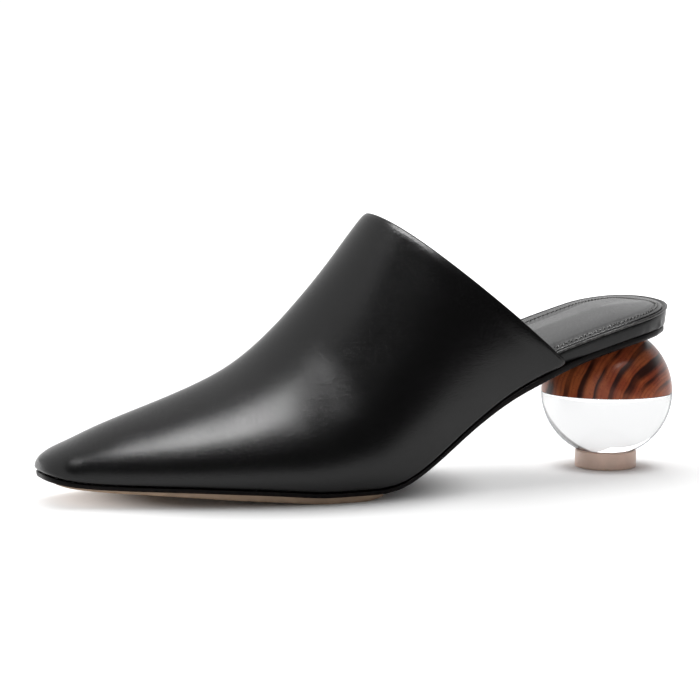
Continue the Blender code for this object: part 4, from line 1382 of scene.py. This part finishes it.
def set_bump(tree, shader, height, depth, strength=1.0):
    """Feeds a height to the shader's normal, as a relief of a depth in metres."""
    made = add_node(tree, "ShaderNodeBump", {"Strength": strength, "Distance": depth, "Height": height})
    feed(tree, shader, Normal=made.outputs[0])


def tint_edges(tree, groups, place, colour, rubbed, amount, patches=900.0):
    """The colour, and how strongly the edge colour is laid on, where the piece's mask shows an edge: rubbing on most
    pieces, a painted highlight on the band's bead and painted shade at the tread's foot.
    """
    wear_and_painted_light = add_node(tree, "ShaderNodeAttribute", attribute_name="wear_and_painted_light").outputs["Fac"]
    return use_group(tree, groups["rubbed"], Place=place, Colour=colour, Rubbed_colour=solid(rubbed), Worn=wear_and_painted_light,
                     Amount=amount, Patches_per_metre=patches)


def tones(base, *shares):
    """A colour made darker or lighter by each share."""
    return [[c * by for c in base] for by in shares]


def leather(name, groups, base, rubbed, gloss, pebbles, depth, edge_amount, dust, mottle=0.18, **plain):
    """A dressed leather: grain in relief, mottled gloss, a lighter colour on the edges that its mask marks (rubbing,
    and on the band's bead a painted highlight), and a trace of dust.
    """
    material, tree, shader, place = finish_tree(name, **plain)
    grain = use_group(tree, groups["grain"], Place=place, Pebbles_per_metre=pebbles, Crease=0.3)
    deep = blend_colours(tree, ramp(tree, grain["Mottle"], 0.3, 0.7), *tones(base, 1 - mottle, 1 + mottle))
    edge = tint_edges(tree, groups, place, deep, rubbed, edge_amount)
    film = use_group(tree, groups["dust"], Place=place, Colour=edge["Colour"], Amount=dust)
    matt = scaled(tree, grain["Mottle"], mottle * 0.4, gloss - mottle * 0.2)
    matt = scaled(tree, grain["Pores"], 0.10, matt)
    matt = scaled(tree, film["Dust"], 0.5, matt)
    feed(tree, shader, Base_Color=film["Colour"], Roughness=matt)
    set_bump(tree, shader, grain["Height"], depth)
    return material


def edge_paint(name, groups, base, rubbed):
    """Brushed on edge ink: faint strokes along the edge and thin places on its corners."""
    material, tree, shader, place = finish_tree(name, IOR=1.15)
    marks = use_group(tree, groups["marks"], Place=place, Stretch=(0.25, 0.25, 1.6), Marks_per_metre=1500.0)
    edge = tint_edges(tree, groups, place, solid(base), rubbed, amount=0.55, patches=420.0)
    matt = scaled(tree, marks["Haze"], 0.16, 0.26)
    matt = scaled(tree, edge["Rubbed"], 0.2, matt)
    feed(tree, shader, Base_Color=edge["Colour"], Roughness=matt)
    set_bump(tree, shader, marks["Height"], depth=0.05 * MM, strength=0.6)
    return material


def tan_leather(name, groups, base, dark):
    """Vegetable tanned tread leather: fibres, sanding marks, and a darker edge towards its foot, burnished and with
    painted shade.
    """
    material, tree, shader, place = finish_tree(name)
    grain = use_group(tree, groups["grain"], Place=place, Pebbles_per_metre=1500.0, Crease=0.6)
    marks = use_group(tree, groups["marks"], Place=place, Stretch=(0.18, 1.0, 1.8), Marks_per_metre=1700.0)
    tint = blend_colours(tree, ramp(tree, grain["Mottle"], 0.25, 0.75), *tones(base, 0.84, 1.08))
    tint = blend_colours(tree, times(tree, marks["Height"], 0.45), tint, dark)
    edge = tint_edges(tree, groups, place, tint, dark, amount=0.75, patches=260.0)
    feed(tree, shader, Base_Color=edge["Colour"], Roughness=scaled(tree, marks["Haze"], 0.18, 0.40))
    relief = scaled(tree, marks["Height"], 0.8, grain["Height"])
    set_bump(tree, shader, relief, depth=0.07 * MM, strength=0.8)
    return material


def lacquered_wood(name, groups, light, red, dark, ring_pitch):
    """Striped red-brown wood under a clear lacquer."""
    material, tree, shader, place = finish_tree(name, IOR=1.28, Coat_Weight=0.20, Coat_Roughness=0.20, Coat_IOR=1.34)
    figure = use_group(tree, groups["rings"], Place=place, Rings_per_metre=1 / ring_pitch)
    marks = use_group(tree, groups["marks"], Place=place, Stretch=(1.0, 0.2, 1.0), Marks_per_metre=420.0)
    # The softened edge at the seam takes a deeper red, which draws a thin dark line along the seam.
    deep_red, seam_red = tones(red, 0.30, 0.5)
    tint = blend_colours(tree, figure["Red"], light, red)
    for part, amount, colour in (("Fine", 0.42, deep_red), ("Dark", 0.93, dark), ("Pores", 0.55, dark)):
        tint = blend_colours(tree, times(tree, figure[part], amount), tint, colour)
    edge = tint_edges(tree, groups, place, tint, seam_red, amount=0.8, patches=300.0)
    feed(tree, shader, Base_Color=edge["Colour"], Roughness=scaled(tree, marks["Haze"], 0.15, 0.28))
    relief = scaled(tree, figure["Pores"], -0.6, marks["Height"])
    set_bump(tree, shader, relief, depth=0.012 * MM, strength=0.5)
    return material


def clear_plastic(name):
    """Polished clear acrylic with a painted dark outline where it is seen aslant, standing in for the dark edges that
    it refracts; it lets light through to what it shades.
    """
    material, tree, shader, _ = finish_tree(name, Roughness=0.0, Transmission_Weight=1.0, IOR=1.49)
    aslant = add_node(tree, "ShaderNodeLayerWeight", {"Blend": 0.5}).outputs["Facing"]
    # Painted shade: the base colour turns dark grey where the surface is seen aslant, drawing an outline at the rim.
    tint = blend_colours(tree, ramp(tree, aslant, 0.76, 0.93), (0.895, 0.90, 0.905), (0.16, 0.17, 0.18))
    feed(tree, shader, Base_Color=tint)
    shaded = add_node(tree, "ShaderNodeLightPath").outputs["Is Shadow Ray"]
    whole = shader.outputs[0]
    # Shadow rays pass through; the second see-through layer, grey where the surface is seen aslant, paints a darker
    # outline too.
    for factor, clear in ((shaded, (0.93, 0.935, 0.94)), (ramp(tree, aslant, 0.74, 0.88), (0.62, 0.63, 0.64))):
        through = add_node(tree, "ShaderNodeBsdfTransparent", {"Color": solid(clear)}).outputs[0]
        whole = add_node(tree, "ShaderNodeMixShader", {0: factor, 1: whole, 2: through}).outputs[0]
    feed(tree, tree.nodes["Material Output"], Surface=whole)
    return material


def moulded_rubber(name, groups, base):
    """Matt nude rubber with faint flow marks and a scuffed foot."""
    material, tree, shader, place = finish_tree(name, Subsurface_Weight=0.06, Subsurface_Scale=0.002)
    grain = use_group(tree, groups["grain"], Place=place, Pebbles_per_metre=2600.0, Crease=0.25)
    marks = use_group(tree, groups["marks"], Place=place, Stretch=(0.5, 0.5, 3.0), Marks_per_metre=700.0)
    dull, bright, scuffed = tones(base, 0.92, 1.05, 0.55)
    tint = blend_colours(tree, ramp(tree, grain["Mottle"], 0.25, 0.75), dull, bright)
    edge = tint_edges(tree, groups, place, tint, scuffed, amount=0.6, patches=500.0)
    feed(tree, shader, Base_Color=edge["Colour"], Roughness=scaled(tree, marks["Haze"], 0.14, 0.34))
    relief = scaled(tree, marks["Height"], 0.5, grain["Height"])
    set_bump(tree, shader, relief, depth=0.03 * MM, strength=0.5)
    return material


def twisted_thread(name, groups, base):
    """Waxed thread with the slant of its ply."""
    material, tree, shader, place = finish_tree(name)
    ply = add_node(tree, "ShaderNodeTexWave", {"Vector": place, "Scale": 1100.0, "Distortion": 0.6},
                   wave_type="BANDS", bands_direction="DIAGONAL").outputs["Fac"]
    tint = blend_colours(tree, ply, *tones(base, 0.55, 1.5))
    film = use_group(tree, groups["dust"], Place=place, Colour=tint, Amount=0.08)
    feed(tree, shader, Base_Color=film["Colour"], Roughness=scaled(tree, ply, 0.12, 0.32))
    set_bump(tree, shader, ply, depth=0.05 * MM, strength=0.6)
    return material


def shared_groups():
    """The shared effects, each built once."""
    made = {
        "grain": ("leather_grain", grain_group),
        "rubbed": ("edge_tint", edge_tint_group),
        "dust": ("dust_film", dust_group),
        "marks": ("polish_marks", scratch_group),
        "rings": ("ring_wood", ring_group),
    }
    return {key: bpy.data.node_groups.get(name) or build() for key, (name, build) in made.items()}


def finish(name):
    """A finish by its name, built the first time that a piece asks for it."""
    if name in bpy.data.materials and bpy.data.materials[name].get("mule"):
        return bpy.data.materials[name]
    groups, tint = shared_groups(), sizes("finish")
    if name == "dressed_calf":
        made = leather(name, groups, tint.calf, tint.calf_rubbed, gloss=0.215, pebbles=2100.0, depth=0.016 * MM,
                       edge_amount=0.45, dust=0.02, mottle=0.06, IOR=1.40)
    elif name == "band_kid":
        # The band's edge colour is laid on strongly, so that its bead carries a painted highlight.
        made = leather(name, groups, [c * 0.25 for c in tint.kid], tint.kid_rubbed_and_lit, gloss=0.30, pebbles=2600.0,
                       depth=0.016 * MM, edge_amount=0.90, dust=0.04, mottle=0.10, IOR=1.38)
    elif name == "soft_kid":
        made = leather(name, groups, [c * 0.6 for c in tint.kid], tint.kid_rubbed_and_lit, gloss=0.25, pebbles=2600.0,
                       depth=0.024 * MM, edge_amount=0.3, dust=0.05)
    elif name == "lining_kid":
        made = leather(name, groups, [c * 0.8 for c in tint.kid], tint.kid_rubbed_and_lit, gloss=0.48, pebbles=2000.0,
                       depth=0.04 * MM, edge_amount=0.4, dust=0.05)
    elif name == "edge_paint":
        made = edge_paint(name, groups, tint.ink, tint.ink_pale_brown)
    elif name == "tread_tan":
        made = tan_leather(name, groups, tint.tan, tint.tan_burnished_and_shaded)
    elif name == "lacquered_wood":
        made = lacquered_wood(name, groups, tint.wood_light, tint.wood_red, tint.wood_dark, sizes("heel").ring_pitch)
    elif name == "polished_clear":
        made = clear_plastic(name)
    elif name == "moulded_nude":
        made = moulded_rubber(name, groups, tint.nude)
    elif name == "waxed_thread":
        made = twisted_thread(name, groups, tint.thread)
    else:
        raise ValueError(f"no finish is named {name}")
    made.name = name
    made["mule"] = True
    return made


# ---- the stage

FLOOR_DULL, FLOOR_BRIGHT = (0.880,) * 3, (0.905,) * 3
# What brings the shoe's middle, and the middle of the forefoot's painted contact shadow, to the origin. The shadow's
# half length and half breadth are given as one over metres.
SHOE_MIDDLE, TREAD_SHADOW, TREAD_SHADOW_SPREAD = (0.1, 0.0, 0.0), (0.137, 0.0, 0.0), (1 / 0.051, 1 / 0.044, 0.0)
# The middle of the dark room, as seen from the shoe, and how much less the backdrop lights matt surfaces.
ROOM_WAY, MATT_LOSS = (0.364, -0.543, 0.757), 0.22
# Each light's place, width, depth and turn.
SOFTBOX = ((-0.084, -0.225, 0.65), 0.55, 0.25, -0.84)
WIDE_FILL = ((-0.10, 0.60, 1.20), 1.3, 1.3, 0.0)
SENSOR_WIDTH = 36.0


def add_floor():
    """A pale floor that glows to fade into the backdrop; its glow is taken away under the forefoot and round the top
    lift, which paints darker contact shadows there.
    """
    stage, squares = sizes("stage"), 12
    mesh = bpy.data.meshes.new("floor")
    side = np.linspace(-stage.floor_reach, stage.floor_reach, squares + 1)
    points = [(x - SHOE_MIDDLE[0], y, 0.0) for y in side for x in side]
    mesh.from_pydata(points, [], grid_faces(squares + 1, squares + 1).tolist())
    material, tree, shader, place = finish_tree(
        "pale_floor", Roughness=0.75, Specular_IOR_Level=0.15, Emission_Color=(1.0, 1.0, 1.0, 1.0)
    )
    tint = blend_colours(tree, noise(tree, place, 60.0, 4.0, 0.6), FLOOR_DULL, FLOOR_BRIGHT)
    away = vector_maths(tree, "LENGTH", vector_maths(tree, "ADD", place, SHOE_MIDDLE))
    far_glow = ramp(tree, away, stage.floor_glow_near, stage.floor_glow_far)
    glow = scaled(tree, far_glow, stage.pale * 0.22, stage.pale * 0.44)
    from_ball = vector_maths(tree, "MULTIPLY", vector_maths(tree, "ADD", place, TREAD_SHADOW), TREAD_SHADOW_SPREAD)
    # Painted contact shadows: the glow falls to nothing in an ellipse under the forefoot and in a ring round the top
    # lift.
    for shadow, low, high in ((from_ball, 0.90, 1.65), (place, 0.010, 0.026)):
        glow = times(tree, glow, ramp(tree, vector_maths(tree, "LENGTH", shadow), low, high))
    feed(tree, shader, Base_Color=tint, Emission_Strength=glow)
    mesh.materials.append(material)
    floor = bpy.data.objects.new("floor", mesh)
    bpy.context.scene.collection.objects.link(floor)


def add_camera():
    stage = sizes("stage")
    a, e, r = stage.azimuth, stage.elevation, stage.roll
    back = Vector((math.sin(a) * math.cos(e), -math.cos(a) * math.cos(e), math.sin(e)))
    right = Vector((math.cos(a), math.sin(a), 0))
    up = back.cross(right)
    across, over = right * math.cos(r) + up * math.sin(r), up * math.cos(r) - right * math.sin(r)
    data = bpy.data.cameras.new("camera")
    data.sensor_width, data.lens = SENSOR_WIDTH, stage.lens
    camera = bpy.data.objects.new("camera", data)
    place = Vector((stage.aim_x, 0, stage.aim_z)) + back * stage.distance
    turn = Matrix((across, over, back)).transposed().to_4x4()
    camera.matrix_world = Matrix.Translation(place) @ turn
    bpy.context.scene.collection.objects.link(camera)
    bpy.context.scene.camera = camera


def add_softbox(name, place, wide, deep, turn, power):
    """A rectangular light that looks straight down, turned about the upright."""
    data = bpy.data.lights.new(name, "AREA")
    data.shape, data.size, data.size_y, data.energy = "RECTANGLE", wide, deep, power
    light = bpy.data.objects.new(name, data)
    light.matrix_world = Matrix.Translation(Vector(place)) @ Matrix.Rotation(turn, 4, "Z")
    light.visible_camera = False
    bpy.context.scene.collection.objects.link(light)
    return light


def set_world():
    """A white backdrop all round, with a dark room overhead on the side that the camera stands on."""
    stage = sizes("stage")
    world = bpy.data.worlds.new("studio")
    world.use_nodes = True
    tree = world.node_tree
    way = add_node(tree, "ShaderNodeTexCoord").outputs["Generated"]
    facing = vector_maths(tree, "DOT_PRODUCT", way, tuple(Vector(ROOM_WAY).normalized()))
    dark = ramp(tree, facing, 0.52, 0.64)
    seen = add_node(tree, "ShaderNodeLightPath").outputs
    dark = times(tree, dark, rest(tree, seen["Is Camera Ray"]))
    strength = scaled(tree, dark, stage.room - stage.pale, stage.pale)
    loss = scaled(tree, seen["Is Diffuse Ray"], -MATT_LOSS, 1.0)
    strength = times(tree, strength, loss)
    background = tree.nodes["Background"]
    background.inputs["Color"].default_value = (1.0, 1.0, 1.0, 1.0)
    feed(tree, background, Strength=strength)
    bpy.context.scene.world = world


# ---- operators


class MULE_OT_upper(bpy.types.Operator):
    """Builds the upper: outer leather, lining, and the stitches inside the top line"""

    bl_idname = "mule.upper"
    bl_label = "Upper"

    def execute(self, context):
        add_vamp(finish("dressed_calf"))
        add_vamp_lining(finish("lining_kid"))
        add_top_line_stitches(finish("waxed_thread"))
        return {"FINISHED"}


class MULE_OT_footbed(bpy.types.Operator):
    """Builds the insole's wrapped band"""

    bl_idname = "mule.footbed"
    bl_label = "Footbed band"

    def execute(self, context):
        add_band(finish("band_kid"))
        return {"FINISHED"}


class MULE_OT_sock(bpy.types.Operator):
    """Builds the padded sock and its stitches"""

    bl_idname = "mule.sock"
    bl_label = "Padded sock"

    def execute(self, context):
        add_sock(finish("soft_kid"))
        add_sock_stitches(finish("waxed_thread"))
        return {"FINISHED"}


class MULE_OT_sole(bpy.types.Operator):
    """Builds the outsole and the forefoot tread"""

    bl_idname = "mule.sole"
    bl_label = "Outsole and tread"

    def execute(self, context):
        add_outsole(finish("edge_paint"))
        add_tread(finish("tread_tan"))
        return {"FINISHED"}


class MULE_OT_heel(bpy.types.Operator):
    """Builds the ball heel: its wooden half, its clear half and the top lift"""

    bl_idname = "mule.heel"
    bl_label = "Ball heel"

    def execute(self, context):
        add_heel_wood(finish("lacquered_wood"))
        add_heel_clear(finish("polished_clear"))
        add_toplift(finish("moulded_nude"))
        return {"FINISHED"}


class MULE_OT_stage(bpy.types.Operator):
    """Sets up the floor, the camera and the studio light"""

    bl_idname = "mule.stage"
    bl_label = "Stage"

    def execute(self, context):
        stage = sizes("stage")
        add_floor()
        add_camera()
        set_world()
        gloss = add_softbox("softbox", *SOFTBOX, stage.softbox)
        gloss.visible_diffuse = False
        fill = add_softbox("wide_fill", *WIDE_FILL, stage.fill)
        fill.visible_glossy = False
        context.scene.view_settings.view_transform = "Standard"
        return {"FINISHED"}


class MULE_PT_sidebar(bpy.types.Panel):
    """Lists the steps of the mule and its sizes"""

    bl_idname = "MULE_PT_sidebar"
    bl_label = "Closed toe mule"
    bl_space_type = "VIEW_3D"
    bl_region_type = "UI"
    bl_category = "Mule"

    def draw(self, context):
        for operator in STEPS:
            self.layout.operator(operator.bl_idname)
        for part, group in GROUPS.items():
            box = self.layout.box()
            box.label(text=part.capitalize())
            for name in group.__annotations__:
                box.prop(sizes(part), name)


STEPS = (MULE_OT_upper, MULE_OT_footbed, MULE_OT_sock, MULE_OT_sole, MULE_OT_heel, MULE_OT_stage)
GROUPS = {"last": MuleLast, "sole": MuleSole, "heel": MuleHeel, "finish": MuleFinish, "stage": MuleStage}


def register():
    for group in (*GROUPS.values(), *STEPS, MULE_PT_sidebar):
        bpy.utils.register_class(group)
    for part, group in GROUPS.items():
        setattr(bpy.types.Scene, "mule_" + part, PointerProperty(type=group))


def unregister():
    for part in GROUPS:
        delattr(bpy.types.Scene, "mule_" + part)
    for group in reversed((*GROUPS.values(), *STEPS, MULE_PT_sidebar)):
        bpy.utils.unregister_class(group)


def main():
    register()
    for step in (
        bpy.ops.mule.upper, bpy.ops.mule.footbed, bpy.ops.mule.sock, bpy.ops.mule.sole, bpy.ops.mule.heel,
        bpy.ops.mule.stage,
    ):
        step()


if __name__ == "__main__":
    main()
